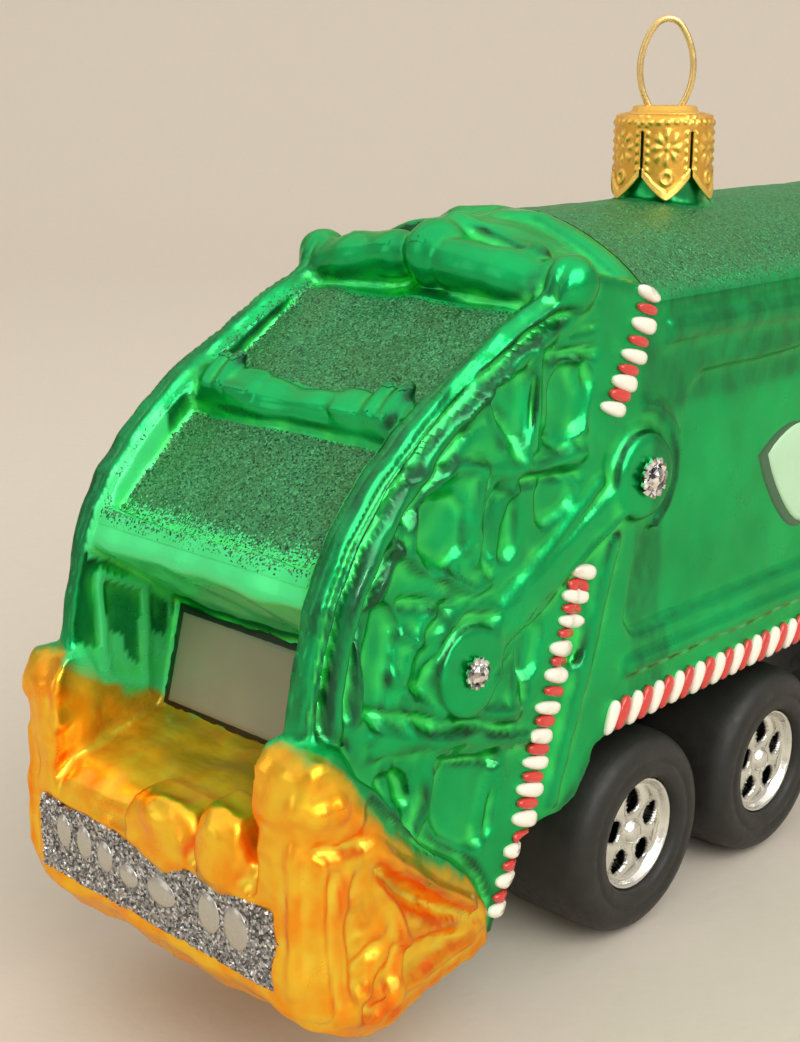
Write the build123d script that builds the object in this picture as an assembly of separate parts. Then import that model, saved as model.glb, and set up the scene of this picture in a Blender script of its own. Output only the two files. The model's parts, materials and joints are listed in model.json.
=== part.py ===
from build123d import *
import os
from math import asin, atan2, cos, degrees, hypot, pi, radians, sin

# A blown-glass tree ornament in the shape of a rear-loading garbage truck, with rolling wheels.
# Millimetres. +X is the truck's front, +Y its left side, +Z up; Z = 0 is the bottom of the tyres.

# ---------------------------------------------------------------- driving dimensions
half_width = 15.2        # flat sides of the packer body, tailgate and cab
floor_z = 22.8           # underside of the body
eave_z = 61.3            # where the flat sides meet the arched roof
crown_z = 67.8           # top of the arched roof
body_front_x = 38.0      # front wall of the packer body
lamp_x = -69.2           # rear face of the hopper
front_x = 69.6           # front face of the bumper
wall = 1.7               # blown wall behind the deepest relief
relief = 0.8             # depth of the pressed-in pockets
draft = 25.0             # slope of the moulded edges, in degrees
coat = 0.3               # lacquer, enamel and glitter layers
dash_lift = 0.35         # how far an enamel dash stands off the glass

wheel_radius = 10.0
tyre_inner_y = 3.1       # face of the tyre next to the keel
tyre_outer_y = 14.6      # face of the tyre on the outside
tyre_shoulder = 1.5      # bevel between the tread and the outer face
rim_radius = 5.6         # seat of the tyre on the hub
axle_radius = 1.1
axle_play = 0.06         # running clearance of an axle in the keel
axles = {"rear": -22.0, "middle": 1.0, "front": 47.0}    # x of each axle

keel_half = 2.3          # web of the underframe between the tyres
pan_half = 12.6          # half width of the underframe's flat pan
pan_thick = 1.0
boss_radius = 3.0        # round each axle

cap_x = -2.6             # crown cap and hanger, over the point of balance
cap_radius = 5.0
cap_height = 8.2         # from the petals' tips to the top
cap_gap = 0.4            # from the crown of the roof up to the petals' tips
cap_sheet = 0.35
neck_radius = 4.3
neck_bore = 3.2
petals = 6
wire_radius = 0.35
wire_sides = 8
loop_half = 2.6          # half width of the hanger loop, to the wire's centre
loop_rise = 3.8          # widest part of the loop over the cap's top
loop_top = 4.65          # top of the loop over its widest part, to the wire's centre
loop_bend = 1.6          # radius of the bend at the top

cap_skirt_z = crown_z + cap_gap
cap_top_z = cap_skirt_z + cap_height


def flat(points, inset=0.0):
    """A face with these corners, facing +Z whichever way round they run, its edges moved in by inset."""
    turn = sum(a[0] * b[1] - b[0] * a[1] for a, b in zip(points, points[1:] + points[:1]))
    face = Polygon(*(points if turn > 0 else points[::-1]), align=None)
    return offset(face, -inset, kind=Kind.INTERSECTION) if inset else face


def prism(points, half, inset=0.0):
    """A side profile of (x, z) points, drawn out to both sides, each face moved in by inset."""
    return extrude(Plane.XZ * flat(points, inset), half - inset, both=True)


def block(x0, x1, y0, y1, z0, z1):
    return Pos(x0, y0, z0) * Box(x1 - x0, y1 - y0, z1 - z0, align=(Align.MIN,) * 3)


def on_side(face, side, y, depth, taper=0.0):
    """A face drawn in (x, z) and raised by depth from the plane y of one side (+1 left, -1 right)."""
    # Plane.XZ looks along -Y, so its normal points to the right-hand side
    solid = extrude(Plane.XZ * face, depth, taper=taper)
    if side > 0:
        solid = mirror(solid, Plane.XZ)
    return Pos(0, side * y, 0) * solid


def both_sides(face, y, depth, taper=0.0):
    return [on_side(face, side, y, depth, taper) for side in (1, -1)]


def cut_corners(points, size, inset=0.0):
    return chamfer(flat(points, inset).vertices(), size)


def ribbon(line, width, shift=0.0):
    """A strip of this width along a line of (x, z) points, moved to the line's left by shift."""
    left, right = [], []
    for before, here, after in zip(line[:1] + line[:-1], line, line[1:] + line[-1:]):
        run, rise = after[0] - before[0], after[1] - before[1]
        size = hypot(run, rise)
        for edge, reach in ((left, shift + width / 2), (right, shift - width / 2)):
            edge.append((here[0] - rise / size * reach, here[1] + run / size * reach))
    return flat(left + right[::-1])


def arc_line(centre, radius, start, end, steps):
    """Points along an arc about centre, between two angles in degrees."""
    turns = [radians(start + (end - start) * i / steps) for i in range(steps + 1)]
    return [(centre[0] + radius * cos(t), centre[1] + radius * sin(t)) for t in turns]


def oval(half, tall, sides=10):
    """An oval with straight facets: half width and whole height."""
    turns = [2 * pi * (i + 0.5) / sides for i in range(sides)]
    return flat([(half * cos(turn), tall / 2 * sin(turn)) for turn in turns])


def write(name, *solids):
    shape = solids[0] if len(solids) == 1 else Compound(children=list(solids))
    shape.label = name
    export_step(shape, f"parts/{name}.step")


# ---------------------------------------------------------------- side profiles, as (x, z)
seam_foot = (-44.8, 9.5)
seam_head = (-26.0, 62.5)
seam_run = (seam_head[0] - seam_foot[0]) / (seam_head[1] - seam_foot[1])


def seam_x(z):
    """x of the sloping tailgate seam at height z."""
    return seam_foot[0] + (z - seam_foot[1]) * seam_run


sill_rear = (lamp_x, 21.6)
sill_front = (-57.6, 26.4)
mouth_top = (-55.4, 35.4)
hood_lip = (-64.4, 42.4)
hopper_floor = [(-46.4, 9.6), (-62.5, 9.2), (-67.6, 11.6), (lamp_x, 13.6)]

# the curved rear edge of the two side rails, from the header down to the hopper
rail_edge = [(-33.0, 64.2), (-37.0, 63.8), (-43.5, 61.2), (-54.0, 55.4), (-58.6, 51.8), (-62.2, 47.8),
             (-64.6, 43.6), (-66.2, 37.5), (-66.8, 32.0)]
rail_outline = [seam_foot, seam_head] + rail_edge + [(-66.8, 24.0), (-60.0, 12.0)]
rail_width = 3.0
rail_inner = half_width - rail_width     # inner faces of the rails, beside the hatch panels
cheek_inner = half_width - 2.6           # and of the cheeks, beside the mouth
rail_step = 0.9          # the rails' long edges are stepped back by this much
rail_crest = (half_width - 2.2, half_width - 1.0)    # a rail has its full height between these two y
# what is taken away between the rails, down to the hatch panels and the hood
hatch_cut = [
    (-35.4, 70.0), (-35.4, 62.6), (-39.4, 61.2), (-50.4, 54.2), (-51.4, 55.3), (-53.6, 53.6),
    (-52.9, 52.2), (-60.6, 45.6), (-61.4, 44.6), (-62.2, 44.6), (-62.8, 45.8), (-64.0, 45.6), (-64.8, 44.4),
    hood_lip, (-80.0, 42.4), (-80.0, 70.0),
]
# the loading mouth, between the cheeks and over the sill
mouth_cut = [sill_front, mouth_top, hood_lip, (-80.0, 42.4), (-80.0, 21.6), sill_rear]
# the orange hopper, and its sill inside the mouth
hopper_outline = hopper_floor + [
    (lamp_x, 26.0), (-68.2, 31.6), (-66.8, 33.2), (-62.0, 29.4), (-56.2, 23.2), (-49.4, 17.2), (-46.8, 13.0),
]
sill_outline = [sill_rear, sill_front, (-57.6, 20.0), (-64.0, 14.0)]
# the same in plan: corner posts, then sides that draw in towards the seam
bar_half = half_width - 0.4      # lamp bar on the rear face
hopper_half = half_width + 3.0
hopper_plan = [(lamp_x, bar_half), (-66.0, hopper_half), (-60.0, hopper_half - 0.2),
               (-45.5, half_width + 0.6)]
lobe = [(-42.6, 17.6), (-36.0, 17.6), (-33.8, 18.5), (-32.2, 20.4), (-31.2, 22.2), (-29.5, floor_z),
        (-29.5, 31.0), (-42.6, 31.0)]

cab_back_x = 40.6
cab_half = half_width
nose_x = 69.0            # flat front of the cab
screen_foot, screen_head = (67.6, 41.0), (64.6, 55.4)    # sloping front with the windscreen
cab_outline = [
    (cab_back_x, floor_z), (58.6, floor_z), (60.2, 12.4), (nose_x, 12.4), (nose_x, 37.5),
    screen_foot, screen_head, (62.6, 57.8), (43.2, 58.6), (cab_back_x, 57.0),
]
gap_outline = [(30.0, floor_z), (50.0, floor_z), (50.0, 54.0), (30.0, 54.0)]


# ---------------------------------------------------------------- the blown glass
def hopper_ribs(inset):
    """Ribs of the hopper's flared sides: a loop round the corner and three that meet near the seam."""
    lines = [
        [(-67.4, 27.0), (-63.6, 23.6), (-61.2, 18.4), (-62.6, 13.6), (-66.4, 12.4)],
        [(-62.8, 25.4), (-55.0, 18.6), (-49.6, 14.2)],
        [(-60.6, 17.6), (-54.0, 15.6), (-50.0, 13.4)],
        [(-61.6, 12.6), (-55.0, 12.2), (-49.8, 12.2)],
    ]
    profile = ribbon(lines[0], rib_width - 2 * inset)
    for line in lines[1:]:
        profile += ribbon(line, rib_width - 2 * inset)
    return extrude(Plane.XZ * profile, 30.0, both=True)


rib_width = 1.5
rib_lift = 0.5
post_head = [(-69.0, 27.6), (-68.8, 31.4), (-67.4, 33.6), (-65.2, 33.4), (-64.2, 31.0), (-65.4, 27.6)]
# lumpy head of a corner post, from its inner to its outer side
post_head_y = (half_width - 3.0, half_width + 2.4)
# the latches moulded on the sill: y, half width, height of the top
latches = [(-1.3, 3.6, 25.6), (-8.6, 2.1, 27.2)]


def latch(y, half, top, inset):
    """A bevelled lug that stands on the sill and hangs over the top of the lamp bar."""
    rear = lamp_x - 0.4
    profile = [(rear, 20.8), (rear, top - 2.2), (-67.8, top), (-65.6, top), (-62.0, 24.0), (-62.0, 20.8)]
    lug = Pos(0, y, 0) * prism(profile, half, inset)
    return chamfer(lug.edges().filter_by(Axis.Y, reverse=True).group_by(Axis.Z)[-1], 0.6)


def hopper_form(inset):
    """The flared hopper, every face moved in by inset."""
    def column(grow):
        plan = [(x, y) for x, y in hopper_plan] + [(x, -y) for x, y in reversed(hopper_plan)]
        return extrude(flat(plan, inset - grow), crown_z)

    form = prism(hopper_outline, 30.0, inset) & column(0.0)
    form += prism(hopper_outline, 30.0, inset) & column(rib_lift) & hopper_ribs(inset)
    low, high = post_head_y
    form -= prism(mouth_cut, cheek_inner, -inset)
    for side in (1, -1):
        form += on_side(flat(post_head, inset), side, low + inset, high - low - 2 * inset, draft / 3)
    form += prism(sill_outline, cheek_inner, inset) & column(0.0)
    for y, half, top in latches:
        form += latch(y, half, top, inset)
    return form


def body_section(inset):
    """Cross-section of the packer body in (y, z): flat sides under an arched roof."""
    half = half_width - inset
    low, eave, crown = floor_z + inset, eave_z - 0.4 * inset, crown_z - inset
    roof = ThreePointArc((half, eave), (0, crown), (-half, eave))
    walls = Polyline((-half, eave), (-half, low), (half, low), (half, eave))
    return make_face(Curve() + [roof, walls])


def body_form(x0, x1, inset=0.0):
    return extrude(Plane.YZ.offset(x0) * body_section(inset), x1 - x0)


arm_top = (-26.8, 46.4)
arm_foot = (-49.2, 34.7)
arm_width = 4.4
arm_lift = 0.9
boss_top_radius = 4.3
boss_foot_radius = 4.2

# pressed-in pockets of the sides: corner cut, then the outline in (x, z)
pockets = [
    (1.6, [(-28.4, 31.4), (36.0, 31.4), (36.0, 54.8), (-18.8, 54.2), (-19.6, 50.6), (-21.6, 43.0),
           (-25.4, 41.6)]),
    (0.9, [(-47.4, 56.0), (-42.4, 50.4), (-40.4, 56.8), (-43.2, 58.2)]),
    (0.9, [(-38.8, 57.6), (-39.6, 50.4), (-34.4, 51.4), (-32.6, 57.0)]),
    (1.0, [(-54.6, 50.0), (-54.4, 43.4), (-49.4, 42.6), (-48.6, 49.0)]),
    (0.9, [(-46.8, 49.4), (-47.0, 42.8), (-42.8, 41.8), (-42.6, 48.0)]),
    (0.8, [(-40.6, 48.6), (-40.6, 43.6), (-35.0, 45.4), (-35.4, 48.2)]),
    (1.4, [(-60.6, 43.0), (-60.4, 32.6), (-58.0, 32.0), (-57.2, 38.0), (-55.6, 41.4)]),
    (0.8, [(-43.0, 36.4), (-43.2, 31.6), (-40.0, 31.2), (-38.4, 36.4)]),
    (0.8, [(-60.0, 29.2), (-55.6, 28.6), (-54.8, 23.8), (-58.2, 26.4)]),
    (0.9, [(-52.6, 27.4), (-52.8, 21.4), (-48.6, 18.2), (-45.2, 18.4), (-43.8, 26.6)]),
]

# raised ribs of the sides: width, how far they stand out, then the line in (x, z)
ribs = [
    (2.0, 0.7, [(seam_x(18.6) + 3.7, 18.6), (seam_x(42.0) + 3.7, 42.0)]),
    (2.4, 0.7, [(-23.6, 58.4), (37.0, 58.4)]),
    (2.0, 0.6, [(-28.0, 28.8), (37.0, 28.8)]),
    (1.3, 0.6, [(-60.2, 31.0), (-52.0, 29.6), (-42.0, 28.9)]),
    (1.2, 0.5, [(-54.2, 29.4), (-53.6, 23.0)]),
    (1.3, 0.6, [(-56.2, 51.4), (-47.8, 50.6), (-41.6, 49.4), (-34.0, 49.6)]),
    (1.2, 0.5, [(-48.2, 57.6), (-44.6, 51.8)]),
    (1.2, 0.5, [(-40.6, 58.6), (-41.2, 50.6)]),
    (1.2, 0.5, [(-47.7, 50.2), (-48.2, 42.6)]),
    (1.2, 0.6, arc_line(arm_foot, 6.9, 112.0, 258.0, 6)),
    (1.1, 0.6, arc_line(arm_top, 6.2, -62.0, 88.0, 6)),
]
# long grooves beside the rails' rear edge: width, distance from the edge
rail_grooves = [(0.8, 1.9), (0.7, 4.2)]


def side_relief():
    """What is raised on the two sides: ribs, the moulded arm and its two bosses."""
    raised = []
    for width, lift, line in ribs:
        raised += both_sides(ribbon(line, width), half_width - 0.2, lift + 0.2, draft)
    raised += both_sides(ribbon([arm_top, arm_foot], arm_width), half_width - 1.0, arm_lift + 1.0, draft)
    for centre, radius, lift in ((arm_top, boss_top_radius, 1.5), (arm_foot, boss_foot_radius, 1.4)):
        boss = Pos(*centre) * RegularPolygon(radius, 16)
        raised += both_sides(boss, half_width - 1.0, arm_lift + lift, 12.0)
    return raised


def side_cuts():
    """What is pressed into the two sides: the pockets and the rails' grooves."""
    cuts = []
    for corner, outline in pockets:
        # drawn at the bottom of the pocket, and widening outwards
        cuts += both_sides(cut_corners(outline, corner, relief * 0.45), half_width - relief, 1.2, -draft)
    for width, shift in rail_grooves:
        cuts += both_sides(ribbon(rail_edge, width, shift), half_width - 0.5, 1.0)
    return cuts


def rail_edges():
    """The two strips along each rail's rear edge that step it back to a rounded crest."""
    whole = flat(rail_outline)
    rim = (whole - flat(rail_outline, rail_step)) & flat([(-80, 33.6), (-58, 33.6), (-36.2, 58), (-36.2, 80), (-80, 80)])
    low, high = rail_crest
    inner = extrude(Plane.XZ * rim, low, both=True)
    outer = extrude(Plane.XZ * rim, half_width + 1, both=True) - extrude(Plane.XZ * rim, high, both=True)
    return inner + outer


header_x = -34.0
header_crown = 66.4
ridge_x = -27.2          # the raised frame that the header stands behind
# knobs on the header: x, y, z and radius
knobs = [(-35.4, half_width - 0.9, 63.7, 2.3), (-35.4, 0.9 - half_width, 63.7, 2.3), (-32.8, 0.0, 65.2, 3.0),
         (-35.2, half_width - 4.8, 65.0, 1.3), (-35.2, 4.8 - half_width, 65.0, 1.3)]
# hinge lugs on the bar between the hatch panels: y and half width
hinge_lugs = [(9.0, 0.9), (6.0, 1.0), (-6.0, 1.0), (-9.0, 0.9)]
hinge_pad = 4.2          # half width of the raised flat between them


def header():
    """Arched bar across the top of the tailgate, its knobs, and the ridge in front of it."""
    half = half_width - 0.3
    top = ThreePointArc((half, 61.6), (0, header_crown), (-half, 61.6))
    face = make_face(Curve() + [top, Polyline((-half, 61.6), (-half, 58.0), (half, 58.0), (half, 61.6))])
    bar = extrude(Plane.YZ.offset(header_x - 1.9) * face, 3.8)
    bar = chamfer(bar.faces().sort_by(Axis.X)[0].edges().sort_by(Axis.Z)[-1], 0.7)
    solids = [bar] + [Pos(x, y, z) * Sphere(radius) for x, y, z, radius in knobs]
    ridge = body_form(ridge_x - 1.1, ridge_x + 1.1, -0.6)
    solids.append(ridge & block(-40, 0, -half_width, half_width, eave_z - 2, 80))
    return solids


def hinges():
    """Lugs and a flat pad on the bar between the two hatch panels."""
    bar = [(-50.7, 53.6), (-51.2, 55.8), (-53.4, 54.6), (-52.9, 52.6)]
    return [Pos(0, y, 0) * prism(bar, half, -0.3) for y, half in hinge_lugs] + [prism(bar, hinge_pad)]


def cab_form(inset=0.0):
    return prism(cab_outline, cab_half, inset)


bumper = [(58.9, 12.0), (front_x, 12.0), (front_x, 17.6), (59.2, 17.6)]
windscreen_half = cab_half - 2.8
side_window = [(45.0, 42.0), (45.0, 54.0), (61.4, 54.0), (63.8, 42.0)]
door = [(43.4, 24.6), (43.4, 56.2), (62.4, 56.2), (65.6, 40.6), (65.6, 26.6), (58.4, 24.6)]
door_gap = 0.6
handle = [(45.2, 38.6), (48.8, 38.6)]
roof_markers = [-8.0, -4.0, 0.0, 4.0, 8.0]      # y of the moulded lamps on the cab's roof


def cab_relief():
    """Door handles, mirror pods and roof lamps, moulded on the cab."""
    raised = both_sides(ribbon(handle, 1.2), cab_half - 0.3, 0.9, draft)
    pod = cut_corners([(64.4, 40.0), (64.4, 49.0), (67.6, 49.0), (67.6, 40.0)], 0.9)
    raised += both_sides(pod, cab_half - 2.0, 3.4, draft / 3)
    for y in roof_markers:
        raised.append(block(60.6, 62.8, y - 0.8, y + 0.8, 56.0, 58.9))
    return raised


def glass():
    outer = body_form(header_x, body_front_x) + prism(lobe, half_width)
    outer += prism(rail_outline, half_width) - prism(hatch_cut, rail_inner) - rail_edges()
    outer += header() + hinges()
    outer += prism(gap_outline, cab_half - 2.4)
    outer += cab_form() + prism(bumper, cab_half + 0.5)
    outer -= side_cuts()
    outer += side_relief() + cab_relief()
    seam = flat(door) - flat(door, door_gap)
    outer -= both_sides(cut_corners(side_window, 1.0), cab_half - coat, 5.0)
    outer -= both_sides(seam, cab_half - coat, 1.0)
    outer -= prism(mouth_cut, cheek_inner, -coat)
    outer += hopper_form(coat)
    outer += Pos(cap_x, 0, crown_z - 3) * Cylinder(neck_radius, cap_top_z - cap_sheet - crown_z + 3,
                                                  align=(Align.CENTER, Align.CENTER, Align.MIN))
    return outer


def cavity():
    """The room inside: one bubble through tailgate, body and cab, open at the neck."""
    deep = wall + relief
    tail = [(-43.0, 11.5), (-30.0, 24.0), (-29.0, 60.0), (-36.0, 59.4), (-39.4, 58.6), (-50.4, 52.0),
            (-58.6, 44.0), (-60.0, 41.6), mouth_top, sill_front, (-66.4, 20.6), (lamp_x, 18.6),
            (lamp_x, 13.6), (-67.6, 11.6), (-62.5, 9.2)]
    room = prism(tail, half_width, wall + coat + 0.6)
    room += body_form(-33.0, body_front_x - wall, deep)
    room += block(body_front_x - 5.0, cab_back_x + 5.0, -9.0, 9.0, floor_z + 6.0, 48.0)
    room += cab_form(deep)
    room += Pos(cap_x, 0, crown_z - 8) * Cylinder(neck_bore, cap_height + 12,
                                                  align=(Align.CENTER, Align.CENTER, Align.MIN))
    return room


def orange_lacquer(outer):
    """The lacquer layer round the hopper, left open where the lamp bar's glitter lies."""
    layer = hopper_form(0.0) - outer
    bar = block(lamp_x - 1, lamp_x + coat + 0.02, -bar_half, bar_half, bar_low, bar_high)
    return layer - bar


bar_low, bar_high = 14.5, 21.2
lamp_lift = 0.4
lamp_z = 17.9
lamp_half, lamp_tall = 1.4, 2.8
lamps = [11.4, 8.3, 5.2, -2.0, -8.0, -11.2]            # y of the silver lamps, left to right


def lamp_bar():
    """Glitter bar on the rear face, with a smooth silver oval in each lamp's place."""
    glitter = block(lamp_x, lamp_x + coat, -bar_half, bar_half, bar_low, bar_high)
    discs = []
    for y in lamps:
        face = Plane.YZ * (Pos(y, lamp_z) * oval(lamp_half, lamp_tall))
        discs.append(Pos(lamp_x - lamp_lift, 0, 0) * extrude(face, coat + lamp_lift))
    for y, half, top in latches:
        glitter -= latch(y, half, top, -0.02)
    return glitter - discs, discs


def roof_glitter():
    """A thin shell over the arch of the roof, between the eaves, clear of the cap's neck."""
    outer = body_section(0.0)
    lifted = Pos(0, coat) * outer
    band_box = Rectangle(2 * 14.2, 20, align=(Align.CENTER, Align.MIN))
    strip = (lifted - outer) & (Pos(0, eave_z) * band_box)
    start = ridge_x + 1.6
    layer = extrude(Plane.YZ.offset(start) * strip, body_front_x - 1.5 - start)
    return layer - Pos(cap_x, 0, 60) * Cylinder(cap_radius + 1.2, 40)


def between(a, b, share):
    return (a[0] + (b[0] - a[0]) * share, a[1] + (b[1] - a[1]) * share)


def layer_on(top, foot, half, ends, sink=0.0):
    """A coat on the sloping flat from top to foot in (x, z), short of both ends by a share of its length."""
    start, end = between(top, foot, ends), between(top, foot, 1 - ends)
    run, rise = end[0] - start[0], end[1] - start[1]
    size = hypot(run, rise)
    out = (rise / size, -run / size)      # rearward and up, off the surface
    corners = [(x + out[0] * lift, z + out[1] * lift)
               for (x, z), lift in ((start, -sink), (end, -sink), (end, coat - sink), (start, coat - sink))]
    return prism(corners, half)


def hatch_glitter():
    """The two sloping panels between the rails."""
    half = rail_inner - 0.6
    return [layer_on(hatch_cut[2], hatch_cut[3], half, 0.07), layer_on(hatch_cut[6], hatch_cut[7], half, 0.07)]


def mouth_paint():
    """The taupe panel at the back of the loading mouth, and the black line round it."""
    half, line = cheek_inner - 0.2, 0.7
    share = line / hypot(mouth_top[0] - sill_front[0], mouth_top[1] - sill_front[1])
    panel = layer_on(mouth_top, sill_front, half - line, 0.02 + share, coat)
    return panel, layer_on(mouth_top, sill_front, half, 0.02, coat) - panel


# enamel dashes up the tailgate seam: z of each, and how far it sits off the seam
seam_white = [(62.0, 0.1), (59.4, 0.4), (56.9, 0.1), (54.8, -0.4), (52.8, -1.2),
              (39.3, 0.2), (37.3, -0.1), (35.2, 0.2), (33.1, -0.3), (30.9, -0.2), (28.2, -0.2), (25.9, -0.3),
              (23.6, 0.1), (21.4, 0.1), (19.0, 0.2), (16.3, 0.6), (13.7, 0.6), (11.2, 0.8)]
seam_red = [(60.7, 0.3), (58.1, 0.2), (55.8, -0.2), (53.8, -0.6),
            (38.3, 0.1), (36.25, 0.0), (34.2, 0.1), (32.0, 0.0), (29.5, 0.1), (27.0, 0.1), (24.7, 0.1),
            (22.4, 0.2), (20.2, 0.3), (17.6, 0.6), (15.0, 0.7), (12.4, 0.7)]
seam_white_half = (1.5, 0.54)
seam_red_half = (1.2, 0.4)
seam_lean = -17.0
# and along the foot of the body: z, first one, spacing, half size and lean
stripe_z = 24.4
stripe_start_x = -29.2
stripe_pitch = 3.4
stripe_half = (1.4, 0.62)
stripe_lean = 62.0


def dash(x, z, half, turn):
    """One brushed dash, blunt at the right and narrower at the left, turned from the x axis."""
    along, across = half
    corners = [(along, 0.5 * across), (0.7 * along, across), (-0.8 * along, 0.7 * across),
               (-along, 0.0), (-0.8 * along, -0.7 * across), (0.7 * along, -across), (along, -0.5 * across)]
    return Pos(x, z) * Rot(0, 0, turn) * flat(corners)


def dashes():
    white, red = [], []
    for dots, half, made in ((seam_white, seam_white_half, white), (seam_red, seam_red_half, red)):
        for z, shift in dots:
            made += both_sides(dash(seam_x(z) + shift, z, half, seam_lean), half_width, dash_lift)
    pairs = int((body_front_x - 2.0 - stripe_start_x) / stripe_pitch)
    for i in range(pairs):
        x = stripe_start_x + i * stripe_pitch
        for step, made in ((0.0, white), (0.5, red)):
            face = dash(x + step * stripe_pitch, stripe_z, stripe_half, stripe_lean)
            made += both_sides(face, half_width, dash_lift)
    return white, red


crystals = [(arm_top, 1.9, arm_lift + 0.5), (arm_foot, 1.4, arm_lift + 0.4)]


def crystal_stones():
    stones = []
    for (x, z), radius, lift in crystals:
        girdle = Pos(x, z) * RegularPolygon(radius, 8)
        stones += both_sides(girdle, half_width + lift, 0.45 * radius, 38)
    return stones


leaf_centre = (10.6, 40.4)
leaf_reach = 14.4
# three leaves round a point: the turn of each, and its length as a share of the reach
leaves = [(180.0, 1.0), (60.0, 0.7), (-60.0, 0.7)]


def leaf_motif():
    """Three plain leaves round a point, painted on each side panel."""
    painted = []
    for turn, share in leaves:
        size = leaf_reach * share
        blade = [(2.0, 0), (0.45 * size, 0.36 * size), (0.8 * size, 0.3 * size), (size, 0),
                 (0.8 * size, -0.3 * size), (0.45 * size, -0.36 * size)]
        face = Pos(*leaf_centre) * Rot(0, 0, turn) * flat(blade)
        painted += both_sides(face, half_width - relief, coat)
    return painted


# ---------------------------------------------------------------- cab paint and trim
def cab_paint():
    """Taupe window paint, and the black line that edges each window."""
    pane = cut_corners(side_window, 0.7, 0.6)
    glass_faces = both_sides(pane, cab_half - coat, coat)
    lines = both_sides(cut_corners(side_window, 1.0) - pane, cab_half - coat, coat)
    return glass_faces, lines, windscreen(between(screen_foot, screen_head, 0.06),
                                          between(screen_foot, screen_head, 0.9))


def windscreen(foot, head):
    """Windscreen panel and its border, lying on the sloping front of the cab."""
    (x0, z0), (x1, z1) = foot, head
    rise = hypot(x1 - x0, z1 - z0)
    lean = Plane(origin=((x0 + x1) / 2, 0, (z0 + z1) / 2), x_dir=(0, 1, 0),
                 z_dir=((z1 - z0) / rise, 0, (x0 - x1) / rise))
    outer = chamfer(Rectangle(2 * windscreen_half, rise).vertices(), 1.5)
    inner = chamfer(Rectangle(2 * windscreen_half - 1.4, rise - 1.4).vertices(), 1.1)
    return extrude(lean * inner, coat), extrude(lean * (outer - inner), coat)


grille_low, grille_high, grille_half = 20.0, 33.0, 8.4
headlamp_y, headlamp_z, headlamp_radius = 11.8, 23.4, 2.1


def nose_trim():
    """Glittered grille and two silver headlamps on the flat front."""
    grille = block(nose_x, nose_x + coat, -grille_half, grille_half, grille_low, grille_high)
    lamps_front = []
    for side in (1, -1):
        face = Plane.YZ * (Pos(side * headlamp_y, headlamp_z) * oval(headlamp_radius, 2 * headlamp_radius, 12))
        lamps_front.append(Pos(nose_x, 0, 0) * extrude(face, 0.5))
    return grille, lamps_front


# ---------------------------------------------------------------- cap and hanger
loop_turn = -46.5        # the loop's flat, turned from the truck's length
hole_play = 0.32
cap_button = 0.3         # raised middle of the cap's top
cap_bevel = 0.6          # rolled top edge
petal_turn = 0.15        # where the first slit stands, as a share of a petal
petal_point = 2.0        # depth of the notch beside a petal's tip
leg_bend = 1.2           # radius of the bend that spreads each leg inside the neck
leg_flare = 24.0         # lean of the spread legs


def loop_back():
    """How far beyond the loop's middle line each long side arc has its centre."""
    lift = loop_top - loop_bend
    return (loop_half ** 2 + lift ** 2 - loop_bend ** 2) / (2 * (loop_half - loop_bend)) - loop_half


def loop_sides():
    """Where a long side arc meets the top bend, and where it passes the cap, from the loop's middle."""
    lift = loop_top - loop_bend
    back = loop_back()
    radius = back + loop_half
    reach = hypot(back, lift)
    meet = (-back + radius * back / reach, radius * lift / reach)
    foot = (-back + (radius ** 2 - (loop_rise + cap_sheet) ** 2) ** 0.5, -loop_rise - cap_sheet)
    return meet, foot


def crown_cap():
    """Stamped cap: a cup with a rolled top edge, cut into pointed petals round the neck."""
    low = (Align.CENTER, Align.CENTER, Align.MIN)
    at = Pos(cap_x, 0, cap_skirt_z)
    cup = at * Cylinder(cap_radius, cap_height, align=low)
    cup = chamfer(cup.edges().group_by(Axis.Z)[-1], cap_bevel)
    cup -= at * Pos(0, 0, -1) * Cylinder(cap_radius - cap_sheet, cap_height + 1 - cap_sheet, align=low)
    half_petal = pi * cap_radius / petals
    slit = 0.18
    notch = flat([(-half_petal, -0.1), (half_petal, -0.1), (slit, petal_point), (slit, 0.75 * cap_height),
                  (-slit, 0.75 * cap_height), (-slit, petal_point)])
    cut = extrude(Plane.XZ * notch, 2 * cap_radius)
    for i in range(petals):
        cup -= at * Rot(0, 0, 360 * (i + petal_turn) / petals) * cut
    cup += Pos(cap_x, 0, cap_top_z - 0.1) * Cylinder(0.62 * cap_radius, 0.1 + cap_button, align=low)
    leg_half = loop_sides()[1][0] + 0.17
    for side in (1, -1):
        hole = Cylinder(wire_radius + hole_play, 4)
        cup -= Pos(cap_x, 0, cap_top_z) * Rot(0, 0, loop_turn) * Pos(side * leg_half, 0, 0) * hole
    return cup


def wire_section(origin, heading):
    return Plane(origin=origin, z_dir=heading) * RegularPolygon(wire_radius, wire_sides)


def bend(centre, start, heading, turn):
    """A stretch of bent wire about centre, from start, where it runs along heading; all in (x, z)."""
    section = wire_section((start[0], 0, start[1]), (heading[0], 0, heading[1]))
    return revolve(section, Axis((centre[0], 0, centre[1]), (0, 1, 0)), turn)


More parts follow.
